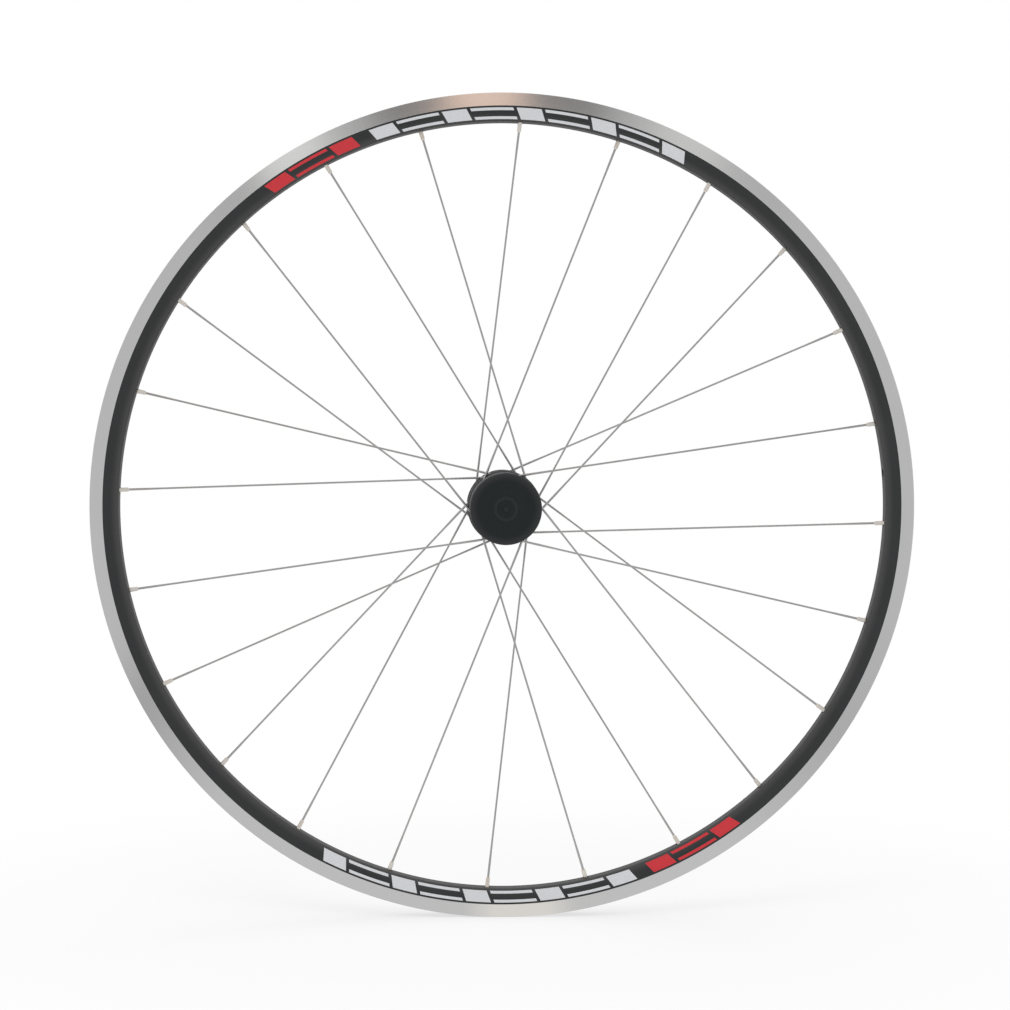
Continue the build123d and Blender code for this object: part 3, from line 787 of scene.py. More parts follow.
@dataclass(frozen=True, kw_only=True)
class DecalFilm(Finish):
    """Printed vinyl film under a thin clear layer."""

    gloss: Span = (0.24, 0.38)
    relief: Span = (0.1, 0.00005)
    specular: float = 0.22
    ink_scale: float = 900.0
    wave_scale: float = 140.0

    def wire(self, bench: NodeBench, shader: Inputs, effects: Effects) -> None:
        """Feed the ink's faint mottle to the colour and the film's waviness to the gloss and relief.

        Args:
            bench: The material's tree.
            shader: The Principled shader's inputs.
            effects: The shared node groups.
        """
        ink = bench.group(effects.grain, Scale=self.ink_scale)
        wave = bench.group(effects.handling, Scale=self.wave_scale)
        self.dress(bench, shader, self.tone(bench, ink), wave, wave)
        bench.feed(shader["Specular IOR Level"], self.specular)


@dataclass(frozen=True, kw_only=True)
class DrawnSteel(Finish):
    """Bright stainless wire, with the long marks of the drawing die."""

    name: str = "drawn_spoke_steel"
    low: Colour = grey(0.38)
    high: Colour = grey(0.55)
    gloss: Span = (0.2, 0.36)
    relief: Span = (0.15, 0.00004)
    mark_scale: float = 4.0
    mark_detail: float = 4.0
    patch_scale: float = 45.0

    def wire(self, bench: NodeBench, shader: Inputs, effects: Effects) -> None:
        """Feed marks that run along the wire to the colour and the relief, and patches to the gloss.

        Args:
            bench: The material's tree.
            shader: The Principled shader's inputs.
            effects: The shared node groups.
        """
        along = bench.node("ShaderNodeAttribute", attribute_name=Lacing.MARKS)
        marks = bench.noise(along.outputs["Vector"], self.mark_scale, self.mark_detail)
        patches = bench.group(effects.handling, Scale=self.patch_scale)
        self.dress(bench, shader, self.tone(bench, marks), patches, marks)
        bench.feed(shader["Metallic"], 1.0)


@dataclass(frozen=True, kw_only=True)
class Turned(Finish):
    """Metal turned on a lathe: bare alloy or ground steel, by its colours and gloss."""

    pitch: float
    relief: Span = (0.25, 0.00003)
    wander: float = 0.3
    patch_scale: float = 60.0

    def wire(self, bench: NodeBench, shader: Inputs, effects: Effects) -> None:
        """Feed tool lines to the colour and relief, and patches to the gloss.

        Args:
            bench: The material's tree.
            shader: The Principled shader's inputs.
            effects: The shared node groups.
        """
        lines = bench.group(effects.lathe_lines, Pitch=self.pitch, Wander=self.wander)
        patches = bench.group(effects.handling, Scale=self.patch_scale)
        self.dress(bench, shader, self.tone(bench, lines), patches, lines)
        bench.feed(shader["Metallic"], 1.0)


@dataclass(frozen=True, kw_only=True)
class Grained(Finish):
    """Metal with a fine even grain: nickel plate or hardened steel."""

    relief: Span = (0.12, 0.00003)
    metallic: float = 1.0
    specular: float = 0.5
    patch_scale: float = 160.0
    grain_scale: float = 3200.0

    def wire(self, bench: NodeBench, shader: Inputs, effects: Effects) -> None:
        """Feed patches and any painted sheen to the colour, and grain to the gloss and relief.

        Args:
            bench: The material's tree.
            shader: The Principled shader's inputs.
            effects: The shared node groups.
        """
        patches = bench.group(effects.handling, Scale=self.patch_scale)
        grain = bench.group(effects.grain, Scale=self.grain_scale)
        self.dress(bench, shader, self.with_sheen(bench, self.tone(bench, patches)), grain, grain)
        bench.feed(shader["Metallic"], self.metallic)
        bench.feed(shader["Specular IOR Level"], self.specular)

    def with_sheen(self, bench: NodeBench, plain: Socket) -> Socket:
        """Return the plain colour with its painted sheen, of which most finishes have none."""
        return plain


@dataclass(frozen=True, kw_only=True)
class Moulded(Grained):
    """Moulded rubber or plastic."""

    relief: Span = (0.2, 0.00006)
    metallic: float = 0.0
    specular: float = 0.3
    patch_scale: float = 50.0
    grain_scale: float = 1500.0


@dataclass(frozen=True, kw_only=True)
class CoverPlastic(Moulded):
    """Moulded plastic with a painted sheen: paler on the raised ring, in the dimple and towards the rounded
    edge.
    """

    name: str = "cover_plastic"
    low: Colour = (0.0085, 0.0120, 0.0130)
    high: Colour = (0.0135, 0.0170, 0.0180)
    gloss: Span = (0.48, 0.64)
    specular: float = 0.2
    # Painted sheen: the paler colour laid on the ring, the dimple and the rounded edge in place of the light
    # they catch.
    painted_sheen: Colour = (0.034, 0.035, 0.036)
    dimple_r: float = 0.0024
    ring_r: float = 0.0079
    ring_half_w: float = 0.0012
    edge_sheen_r: Span = (0.020, 0.0272)
    fade: float = 0.0006
    face_sheen: float = 0.26
    edge_sheen: float = 0.8

    def with_sheen(self, bench: NodeBench, plain: Socket) -> Socket:
        """Paint the sheen onto the plain colour, by the distance from the axle.

        Args:
            bench: The material's tree.
            plain: The colour without its painted sheen.

        Returns:
            The colour with its painted sheen.
        """
        x, _, z = bench.split(bench.place())
        radius = bench.off_axis(x, z)
        off_ring = bench.math("ABSOLUTE", bench.math("SUBTRACT", radius, self.ring_r))
        ring = bench.step(off_ring, self.ring_half_w, self.ring_half_w + self.fade, self.face_sheen, 0.0)
        dimple = bench.step(radius, self.dimple_r - self.fade, self.dimple_r, self.face_sheen, 0.0)
        edge = bench.step(radius, *self.edge_sheen_r, high=self.edge_sheen)
        # Painted sheen on the ring, the dimple and the rounded edge.
        sheen = bench.math("MAXIMUM", bench.math("MAXIMUM", ring, dimple), edge)
        return bench.mix(sheen, plain, self.painted_sheen)


class FinishRack:
    """Every material of the wheel, made once."""

    def __init__(self, effects: Effects) -> None:
        """Make the materials.

        Args:
            effects: The shared node groups.
        """
        self.track = MachinedTrack().material(effects)
        self.rim_black = Anodised(
            name="rim_black_anodised",
            low=(0.028, 0.029, 0.030),
            high=(0.038, 0.039, 0.040),
            # Painted sheen: the side wall turns paler towards the spoke bed, in place of the light its curve
            # catches.
            sheen_colour=(0.066, 0.065, 0.065),
            sheen_r=(0.302, 0.2948),
            gloss=(0.50, 0.66),
            line_relief=0.3,
        ).material(effects)
        self.hub_black = Anodised(
            name="hub_black_anodised",
            low=(0.018, 0.018, 0.019),
            high=(0.030, 0.030, 0.031),
            # Painted highlight: the flanges turn paler from 20 mm radius out to their edges, in place of the
            # light their edges catch.
            sheen_colour=(0.085, 0.085, 0.086),
            sheen_r=(0.020, 0.027),
            gloss=(0.32, 0.46),
            line_relief=0.8,
        ).material(effects)
        white = DecalFilm(name="film_white", low=(0.57, 0.58, 0.60), high=(0.65, 0.66, 0.68))
        red = DecalFilm(name="film_red", low=(0.515, 0.032, 0.041), high=(0.59, 0.041, 0.050))
        self.film = {Film.WHITE: white.material(effects), Film.RED: red.material(effects)}
        self.spoke = DrawnSteel().material(effects)
        self.nipple = Grained(
            name="nickel_plate", low=(0.74, 0.70, 0.64), high=(0.88, 0.84, 0.78), gloss=(0.20, 0.34)
        ).material(effects)
        self.alloy = Turned(
            name="turned_alloy",
            low=(0.50, 0.50, 0.51),
            high=(0.68, 0.68, 0.69),
            gloss=(0.24, 0.40),
            pitch=0.00025,
        ).material(effects)
        self.bearing = Turned(
            name="ground_steel",
            low=(0.44, 0.44, 0.45),
            high=(0.60, 0.60, 0.61),
            gloss=(0.14, 0.28),
            pitch=0.00012,
        ).material(effects)
        self.freehub = Grained(
            name="driver_steel", low=(0.20, 0.20, 0.21), high=(0.34, 0.34, 0.35), gloss=(0.28, 0.46)
        ).material(effects)
        self.rubber = Moulded(
            name="lip_rubber", low=grey(0.012), high=grey(0.022), gloss=(0.55, 0.75)
        ).material(effects)
        self.plastic = CoverPlastic().material(effects)


@dataclass
class Spoke:
    """Where one spoke runs: its flange, which face it leaves, and its line to the rim."""

    index: int
    lacing: "Lacing"
    drive: bool = field(init=False)
    lean: int = field(init=False)
    angle: float = field(init=False)
    side: Vector = field(init=False)
    head: Vector = field(init=False)
    elbow: Vector = field(init=False)
    line: Vector = field(init=False)
    seat: Vector = field(init=False)

    def __post_init__(self) -> None:
        """Work out the spoke's points from the lacing's sizes."""
        lacing = self.lacing
        self.drive = self.index % 2 == 0
        self.lean = 1 if (self.index // 2) % 2 == 0 else -1
        self.angle = lacing.first_angle + lacing.pitch * self.index
        outboard = -1 if self.drive else 1
        self.side = AXIAL * (outboard * self.lean)
        flange_y = lacing.drive_flange_y if self.drive else lacing.left_flange_y
        hole = on_wheel(lacing.hole_circle_r, self.angle + lacing.hub_turn * self.lean, flange_y)
        half_flange = lacing.flange_t / 2
        self.head = hole - self.side * half_flange
        self.elbow = hole + self.side * (half_flange + lacing.elbow_gap + lacing.elbow_reach)
        bed = on_wheel(lacing.bed_r, self.angle, 0.0)
        self.line = (bed - self.elbow).normalized()
        tilt = self.line.angle(on_wheel(1.0, self.angle, 0.0))
        self.seat = bed + self.line * (lacing.nipple_corner_r * tan(tilt) + lacing.seat_gap)

    @property
    def name(self) -> str:
        """The CAD node's name."""
        flange = "drive" if self.drive else "left"
        return f"spoke_{flange}_{self.index // 2 + 1:02d}"


@dataclass
class Lacing:
    """The spokes and nipples, two-cross on both flanges."""

    MARKS = "drawing_marks"

    count: int = 24
    first_angle: float = 12.5
    hub_turn: float = 60.0
    spoke_r: float = 0.9
    middle_r: float = 0.75
    butt_l: float = 22.0
    butt_taper_l: float = 14.0
    head_r: float = 1.65
    head_t: float = 0.9
    head_crown: float = 0.6
    head_profile: Sequence[Span] = ((0.12, 0.86), (0.22, 1.0), (0.50, 1.0), (0.16, 0.92))
    neck_flare: float = 1.12
    neck_l: float = 0.1
    elbow_reach: float = 1.8
    elbow_gap: float = 0.15
    elbow_setback: float = 1.6
    in_nipple: float = 1.5
    hole_circle_r: float = 24.6
    flange_t: float = 3.2
    drive_flange_y: float = -20.5
    left_flange_y: float = 37.0
    bed_r: float = 297.0
    nipple_square: float = 3.2
    nipple_square_edge: float = 0.5
    nipple_l: float = 9.5
    nipple_head_flat_r: float = 2.503
    nipple_head_t: float = 2.2
    nipple_head_edge: float = 0.2
    collar_r: float = 2.0
    collar_l: float = 3.4
    collar_step: float = 0.35
    nose_l: float = 1.1
    nose_profile: Sequence[Span] = ((0.35, 0.93), (0.65, 0.72))
    seat_gap: float = 0.03
    wire_sides: int = 16
    bend_steps: int = 8
    marks_along: float = 30.0

    @property
    def pitch(self) -> float:
        """The angle from one spoke to the next, in degrees."""
        return 360.0 / self.count

    @property
    def nipple_corner_r(self) -> float:
        """The radius of the nipple head's corners."""
        return self.nipple_head_flat_r / cos(HEX_TURN)

    def spokes(self) -> list[Spoke]:
        """Return every spoke in order round the rim."""
        return [Spoke(index, self) for index in range(self.count)]

    def build(self, rack: FinishRack) -> None:
        """Build and dress the spokes and the nipples.

        Args:
            rack: The materials.
        """
        spokes = self.spokes()
        for spoke in spokes:
            made = self.wire(spoke)
            settle(made, "wheel", (rack.spoke,), (spoke.name,))
        shanks = Workpiece()
        for spoke in spokes:
            place = placed(spoke.seat, spoke.line, AXIAL.cross(spoke.line))
            shanks.take(self.nipple_shank(), place)
            shanks.take(self.nipple_head(), place)
        made = shanks.to_object("nipple_set")
        even_shading(made)
        settle(made, "wheel", (rack.nipple,), ("nipples",))

    def wire(self, spoke: Spoke) -> bpy.types.Object:
        """Draw one spoke: a rounded head, the elbow, and a straight run that is thinner in its middle.

        Args:
            spoke: Where it runs.

        Returns:
            The spoke's object, with the marks of drawing as an attribute.
        """
        crown = spoke.head - spoke.side * self.head_t
        loft = Loft(crown, spoke.side, self.head_crown * self.head_r, self.wire_sides)
        for rise, share in self.head_profile:
            loft.push(rise * self.head_t, share * self.head_r)
        loft.push(0.0, self.neck_flare * self.spoke_r)
        loft.push(self.neck_l, self.spoke_r)
        turn = spoke.side.angle(spoke.line)
        loft.push((spoke.elbow - loft.centre).length - self.elbow_setback)
        loft.bend(spoke.line, self.elbow_setback / tan(turn / 2), self.bend_steps)
        end = spoke.seat + spoke.line * self.in_nipple
        loft.push(self.butt_l - self.elbow_setback)
        loft.push(self.butt_taper_l, self.middle_r)
        loft.push((end - loft.centre).length - self.butt_l - self.butt_taper_l)
        loft.push(self.butt_taper_l, self.spoke_r)
        loft.push(self.butt_l)
        work = Workpiece()
        work.take(loft.close())
        self.mark(work.bm, spoke)
        return work.to_object(spoke.name.replace("spoke", "wire"))

    def mark(self, bm: BMesh, spoke: Spoke) -> None:
        """Store on each point where it lies round and along the wire, for the drawing marks.

        Args:
            bm: The spoke's mesh.
            spoke: Where it runs.
        """
        layer = bm.verts.layers.float_vector.new(self.MARKS)
        across = AXIAL.cross(spoke.line).normalized()
        up = spoke.line.cross(across)
        for vert in bm.verts:
            off = vert.co - spoke.elbow
            round_wire = (off.dot(across) / self.spoke_r, off.dot(up) / self.spoke_r)
            vert[layer] = (*round_wire, off.dot(spoke.line) / self.marks_along + spoke.index)

    def nipple_shank(self) -> BMesh:
        """Shape a nipple's shank: a square bar with rounded corners, a round collar and a tapered nose.

        Returns:
            The shank about its own seat, pointing down Z.
        """
        square_l = self.nipple_l - self.collar_l - self.nose_l
        middle = -(self.collar_l + square_l / 2)
        bm = bmesh.new()
        size = Matrix.Diagonal((self.nipple_square, self.nipple_square, square_l, 1.0))
        bmesh.ops.create_cube(bm, size=1.0, matrix=Matrix.Translation((0, 0, middle)) @ size)
        upright = [edge for edge in bm.edges if abs(edge.verts[0].co.z - edge.verts[1].co.z) > TOUCH]
        round_off(bm, upright, self.nipple_square_edge, ROUND_STEPS)
        nose, *_, collar = sorted(bm.faces, key=lambda face: face.calc_center_median().z)
        for rise, share in self.nose_profile:
            nose = self.draw_face(bm, nose, -rise * self.nose_l, share)
        collar = self.draw_face(bm, collar, self.collar_step)
        for vert in collar.verts:
            vert.co.xy = vert.co.xy.normalized() * self.collar_r
        self.draw_face(bm, collar, self.collar_l - self.collar_step)
        bmesh.ops.recalc_face_normals(bm, faces=bm.faces[:])
        return bm

    @staticmethod
    def draw_face(bm: BMesh, face: BMFace, rise: float, share: float = 1.0) -> BMFace:
        """Draw an end face along Z and scale it about Z.

        Args:
            bm: The mesh.
            face: The face to draw.
            rise: How far it goes.
            share: What its size becomes, as a share.

        Returns:
            The face at its new place.
        """
        made = bmesh.ops.extrude_discrete_faces(bm, faces=[face])["faces"][0]
        bmesh.ops.translate(bm, vec=(0.0, 0.0, rise), verts=made.verts[:])
        bmesh.ops.scale(bm, vec=(share, share, 1.0), verts=made.verts[:])
        return made

    def nipple_head(self) -> BMesh:
        """Shape a nipple's hexagon head.

        Returns:
            The head, standing on its seat along Z.
        """
        bm = bmesh.new()
        raised = Matrix.Translation((0.0, 0.0, self.nipple_head_t / 2))
        bmesh.ops.create_cone(
            bm,
            cap_ends=True,
            segments=HEX_SIDES,
            radius1=self.nipple_corner_r,
            radius2=self.nipple_corner_r,
            depth=self.nipple_head_t,
            matrix=raised @ Matrix.Rotation(HEX_TURN, 4, "Z"),
        )
        round_off(bm, bm.edges[:], self.nipple_head_edge, SOFT_STEPS)
        return bm


@dataclass
class Rim:
    """The double-wall rim with its braking tracks and printed film."""

    outer_r: float
    half_w: float
    spokes: Sequence[Spoke]
    depth: float = 21.5
    bead_seat_drop: float = 5.8
    track_h: float = 10.0
    track_step: float = 0.25
    flange_t: float = 1.5
    hook_overhang: float = 1.4
    hook_tip_drop: float = 1.6
    hook_root_drop: float = 3.4
    hook_root_setback: float = 0.5
    hook_setback: float = 0.4
    edge: float = 0.5
    track_edge: float = 0.1
    track_foot_setback: float = 0.12
    seat_setback: float = 0.4
    well_setback: float = 0.6
    bottom_half_w: float = 6.6
    bottom_setback: float = 1.5
    shelf_w: float = 3.1
    well_depth: float = 2.1
    well_slope_w: float = 1.2
    bridge_t: float = 1.1
    side_wall_t: float = 1.2
    bed_t: float = 1.7
    bed_inset: float = 2.8
    bed_corner_h: float = 3.4
    bed_setback: float = 1.0
    top_setback: float = 0.6
    nipple_hole_r: float = 2.403
    key_hole_r: float = 4.09
    valve_hole_r: float = 3.25
    valve_angle: float = 5.0
    hole_margin: float = 2.0
    track_margin: float = 0.04
    edge_share: float = 0.6
    steps: int = 288
    hole_sides: int = 32

    @property
    def inner_r(self) -> float:
        """The radius of the rim's inner edge."""
        return self.outer_r - self.depth

    @property
    def track_low_r(self) -> float:
        """The radius where the braking track starts."""
        return self.outer_r - self.track_h

    @property
    def foot_half_w(self) -> float:
        """Half the rim's width just inside the braking tracks."""
        return self.half_w - self.track_step

    def wall_half_w(self, radius: float) -> float:
        """Return half the rim's outside width at a radius of its sloping side wall."""
        rise = (radius - self.inner_r) / (self.track_low_r - self.inner_r)
        return self.bottom_half_w + rise * (self.foot_half_w - self.bottom_half_w)

    @staticmethod
    def both_halves(half: Sequence[Corner]) -> list[Corner]:
        """Return a section made of a half and its mirror image across the wheel's middle plane."""
        return list(half) + [Corner(corner.r, -corner.y, corner.setback) for corner in reversed(half)]

    def outside(self) -> list[Corner]:
        """Draw the rim's outside section.

        Returns:
            Its corners in order.
        """
        inside_half_w = self.half_w - self.flange_t
        hook_tip_r = self.outer_r - self.hook_tip_drop
        bead_r = self.outer_r - self.bead_seat_drop
        well_r = bead_r - self.well_depth
        shelf_half_w = inside_half_w - self.shelf_w
        return self.both_halves(
            (
                Corner(self.inner_r, self.bottom_half_w, self.bottom_setback),
                Corner(self.track_low_r, self.foot_half_w, self.track_foot_setback),
                Corner(self.track_low_r, self.half_w, self.track_edge),
                Corner(self.outer_r, self.half_w, self.edge),
                Corner(self.outer_r, inside_half_w - self.edge, self.hook_setback),
                Corner(hook_tip_r, inside_half_w - self.hook_overhang, self.hook_setback),
                Corner(self.outer_r - self.hook_root_drop, inside_half_w, self.hook_root_setback),
                Corner(bead_r, inside_half_w, self.seat_setback),
                Corner(bead_r, shelf_half_w, self.seat_setback),
                Corner(well_r, shelf_half_w - self.well_slope_w, self.well_setback),
            )
        )

    def hollow(self) -> list[Corner]:
        """Draw the section of the hollow between the two walls.

        Returns:
            Its corners in order.
        """
        bed_r = self.inner_r + self.bed_t
        bead_r = self.outer_r - self.bead_seat_drop
        top_r = bead_r - self.bridge_t
        low_top_r = top_r - self.well_depth
        corner_r = bed_r + self.bed_corner_h
        shelf_half_w = self.half_w - self.flange_t - self.shelf_w
        half_bridge = self.bridge_t / 2
        well_half_w = shelf_half_w - self.well_slope_w + half_bridge
        return self.both_halves(
            (
                Corner(bed_r, self.bottom_half_w - self.bed_inset, self.bed_setback),
                Corner(corner_r, self.wall_half_w(corner_r) - self.side_wall_t, self.bed_setback),
                Corner(top_r, self.half_w - self.side_wall_t, self.top_setback),
                Corner(top_r, shelf_half_w + half_bridge, self.seat_setback),
                Corner(low_top_r, well_half_w, self.seat_setback),
            )
        )

    def drill(self) -> Workpiece:
        """Shape the nipple holes, the key holes and the valve hole.

        Returns:
            The shapes as one workpiece.
        """
        work = Workpiece()
        well_r = self.outer_r - self.bead_seat_drop - self.well_depth
        nipple_hole_l = 2 * (self.bed_t + self.hole_margin)
        key_hole_l = 2 * (self.bridge_t + self.hole_margin)
        for spoke in self.spokes:
            middle = spoke.seat - spoke.line * self.bed_t
            work.take(self.hole(middle, spoke.line, self.nipple_hole_r, nipple_hole_l))
            outward = on_wheel(1.0, spoke.angle, 0.0)
            work.take(self.hole(outward * well_r, outward, self.key_hole_r, key_hole_l))
        outward = on_wheel(1.0, self.valve_angle, 0.0)
        work.take(self.hole(outward * self.inner_r, outward, self.valve_hole_r, 2 * self.depth))
        return work

    def hole(self, middle: Vector, axis: Vector, radius: float, length: float) -> BMesh:
        """Shape a round hole.

        Args:
            middle: The point halfway along it.
            axis: Its direction.
            radius: Its radius.
            length: Its length.

        Returns:
            The hole's mesh.
        """
        loft = Loft(middle - axis * (length / 2), axis, radius, self.hole_sides)
        loft.push(length)
        return loft.close()

    def build(self, rack: FinishRack) -> None:
        """Build and dress the hoop and its film.

        Args:
            rack: The materials.
        """
        work = Workpiece()
        work.turn(self.outside(), self.steps)
        work.turn(self.hollow(), self.steps, cavity=True)
        made = work.to_object("rim_hoop")
        bore(made, self.drill())
        self.part_finishes(made)
        even_shading(made)
        settle(made, "wheel", (rack.rim_black, rack.track), ("rim",))
        RimFilm(self).build(rack)

    def part_finishes(self, made: bpy.types.Object) -> None:
        """Number the faces of the braking tracks apart from the anodised ones.

        Args:
            made: The hoop.
        """
        low_r = (self.track_low_r + self.track_margin) * MM
        low_y = (self.half_w - self.edge_share * self.edge) * MM
        for face in made.data.polygons:
            middle = face.center
            if hypot(middle.x, middle.z) > low_r and abs(middle.y) > low_y:
                face.material_index = 1


@dataclass(frozen=True)
class Stripe:
    """One bar of printed film: where it starts and ends round the rim, and how much of the band it fills."""

    start: float
    end: float
    low: float = 0.0
    high: float = 1.0


@dataclass
class RimFilm:
    """Bars of white and red film on both sides of the rim, twice round it."""

    rim: Rim
    inner_r: float = 296.9
    outer_r: float = 305.5
    proud: float = 0.06
    sunk: float = 0.05
    slant: float = 24.0
    spare_angle: float = 2.5
    step_angle: float = 0.8
    block_angle: float = 3.6
    pair_angle: float = 6.2
    gap_angle: float = 0.5
    line_share: float = 0.24
    runs: Sequence[tuple[Film, float, int]] = ((Film.WHITE, 62.6, 9), (Film.RED, 112.0, 3))

    def build(self, rack: FinishRack) -> None:
        """Build and dress one piece for each colour on each side.

        Args:
            rack: The materials.
        """
        for side, side_name in ((-1, "drive"), (1, "left")):
            for film, start, count in self.runs:
                work = Workpiece()
                for half_turn in (0.0, 180.0):
                    for stripe in self.stripes(start + half_turn, count):
                        work.take(self.bar(stripe, side))
                made = work.to_object(f"film_{film.value}_{side_name}")
                settle(made, "wheel", (rack.film[film],))

    def stripes(self, start: float, count: int) -> Iterator[Stripe]:
        """Yield the bars of one run: full blocks and pairs of thin lines by turns, with gaps between them.

        Args:
            start: The angle where the run starts.
            count: How many blocks and pairs it has.

        Yields:
            Each bar.
        """
        for place in range(count):
            if place % 2 == 0:
                end = start + self.block_angle
                yield Stripe(start, end)
            else:
                end = start + self.pair_angle
                yield Stripe(start, end, high=self.line_share)
                yield Stripe(start, end, low=1.0 - self.line_share)
            start = end + self.gap_angle

    def bar(self, stripe: Stripe, side: int) -> BMesh:
        """Shape one bar on the rim's side wall.

        Args:
            stripe: The bar.
            side: -1 for the drive side, 1 for the other.

        Returns:
            The bar as a thin closed solid with slanted ends.
        """
        band = self.outer_r - self.inner_r
        low_r = self.inner_r + band * stripe.low
        high_r = self.inner_r + band * stripe.high
        start = stripe.start - self.spare_angle
        sweep = stripe.end - stripe.start + 2 * self.spare_angle
        bm = bmesh.new()
        corners = []
        for radius, lifts in ((low_r, (-self.sunk, self.proud)), (high_r, (self.proud, -self.sunk))):
            for lift in lifts:
                wall_y = side * (self.rim.wall_half_w(radius) + lift)
                corners.append(bm.verts.new(on_wheel(radius, start, wall_y)))
        edges = [bm.edges.new(ends) for ends in zip(corners, corners[1:] + corners[:1])]
        steps = round(sweep / self.step_angle)
        bmesh.ops.spin(bm, geom=edges, cent=CENTRE, axis=-AXIAL, angle=radians(sweep), steps=steps)
        middle_r = (self.inner_r + self.outer_r) / 2
        for angle, way in ((stripe.start, -1.0), (stripe.end, 1.0)):
            across = on_wheel(1.0, angle + 90.0 + self.slant, 0.0)
            bmesh.ops.bisect_plane(
                bm,
                geom=bm.verts[:] + bm.edges[:] + bm.faces[:],
                plane_co=on_wheel(middle_r, angle, 0.0),
                plane_no=across * way,
                clear_outer=True,
            )
            open_edges = [edge for edge in bm.edges if edge.is_boundary]
            bmesh.ops.holes_fill(bm, edges=open_edges, sides=0)
        bmesh.ops.recalc_face_normals(bm, faces=bm.faces[:])
        return bm


@dataclass
class HubShell:
    """The turned hub body with its two drilled flanges."""

    lacing: Lacing
    flange_r: float = 28.0
    collar_r: float = 21.0
    recess_r: float = 17.5
    recess_y: float = -16.8
    recess_wall: float = 2.0
    drive_cone_l: float = 18.8
    barrel_r: float = 13.6
    barrel_setback: float = 4.5
    bore_r: float = 11.4
    bearing_r: float = 14.0
    bearing_w: float = 7.0
    right_bearing_y: float = -15.5
    left_bearing_y: float = 39.0
    left_boss_r: float = 16.6
    left_foot: Span = (2.2, 2.5)
    left_cone: Span = (1.2, 7.4)
    flange_edge: float = 0.6
    root_setback: float = 0.8
    foot_setback: float = 1.2
    cone_setback: float = 1.0
    collar_edge: float = 0.5
    mouth_edge: float = 0.3
    bore_edge: float = 0.2
    hole_r: float = 1.15
    hole_spare: float = 0.5
    hole_sides: int = 20
    countersink: float = 0.35
    steps: int = 128

    def section(self) -> list[Corner]:
        """Draw the shell's section, round from its left end.

        Returns:
            Its corners in order.
        """
        low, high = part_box("hub_shell")
        left_end, drive_end = high.y / MM, low.y / MM
        half_t = self.lacing.flange_t / 2
        left_y, drive_y = self.lacing.left_flange_y, self.lacing.drive_flange_y
        left_out_y, left_in_y = left_y + half_t, left_y - half_t
        drive_in_y, drive_out_y = drive_y + half_t, drive_y - half_t
        wall_r = self.recess_r + self.recess_wall
        foot_w, foot_l = self.left_foot
        cone_w, cone_l = self.left_cone
        seat_end = self.right_bearing_y + self.bearing_w
        return [
            Corner(self.bearing_r, left_end, self.mouth_edge),
            Corner(self.left_boss_r, left_end, self.root_setback),
            Corner(self.left_boss_r, left_out_y + foot_l, self.foot_setback),
            Corner(self.left_boss_r + foot_w, left_out_y, self.root_setback),
            Corner(self.flange_r, left_out_y, self.flange_edge),
            Corner(self.flange_r, left_in_y, self.flange_edge),
            Corner(self.left_boss_r + cone_w, left_in_y, self.cone_setback),
            Corner(self.barrel_r, left_in_y - cone_l, self.barrel_setback),
            Corner(self.barrel_r, self.recess_y + self.drive_cone_l, self.barrel_setback),
            Corner(wall_r, self.recess_y, self.root_setback),
            Corner(wall_r, drive_in_y, self.root_setback),
            Corner(self.flange_r, drive_in_y, self.flange_edge),
            Corner(self.flange_r, drive_out_y, self.flange_edge),
            Corner(self.collar_r, drive_out_y, self.root_setback),
            Corner(self.collar_r, drive_end, self.collar_edge),
            Corner(self.recess_r, drive_end, self.mouth_edge),
            Corner(self.recess_r, self.recess_y),
            Corner(self.bearing_r, self.recess_y, self.bore_edge),
            Corner(self.bearing_r, seat_end),
            Corner(self.bore_r, seat_end, self.bore_edge),
            Corner(self.bore_r, self.left_bearing_y, self.bore_edge),
            Corner(self.bearing_r, self.left_bearing_y),
        ]

    def drill(self) -> Workpiece:
        """Shape the countersunk spoke holes of both flanges.

        Returns:
            The shapes as one workpiece.
        """
        work = Workpiece()
        half_t = self.lacing.flange_t / 2
        wide_r = self.hole_r + self.countersink
        for spoke in self.lacing.spokes():
            start = spoke.head - spoke.side * self.hole_spare
            loft = Loft(start, spoke.side, wide_r, self.hole_sides)
            loft.push(self.hole_spare)
            loft.push(self.countersink, self.hole_r)
            loft.push(2 * (half_t - self.countersink))
            loft.push(self.countersink, wide_r)
            loft.push(self.hole_spare)
            work.take(loft.close())
        return work

    def build(self, rack: FinishRack) -> None:
        """Build and dress the shell.

        Args:
            rack: The materials.
        """
        work = Workpiece()
        work.turn(self.section(), self.steps)
        made = work.to_object("hub_body")
        bore(made, self.drill())
        even_shading(made)
        settle(made, "wheel", (rack.hub_black,), ("hub_shell",))


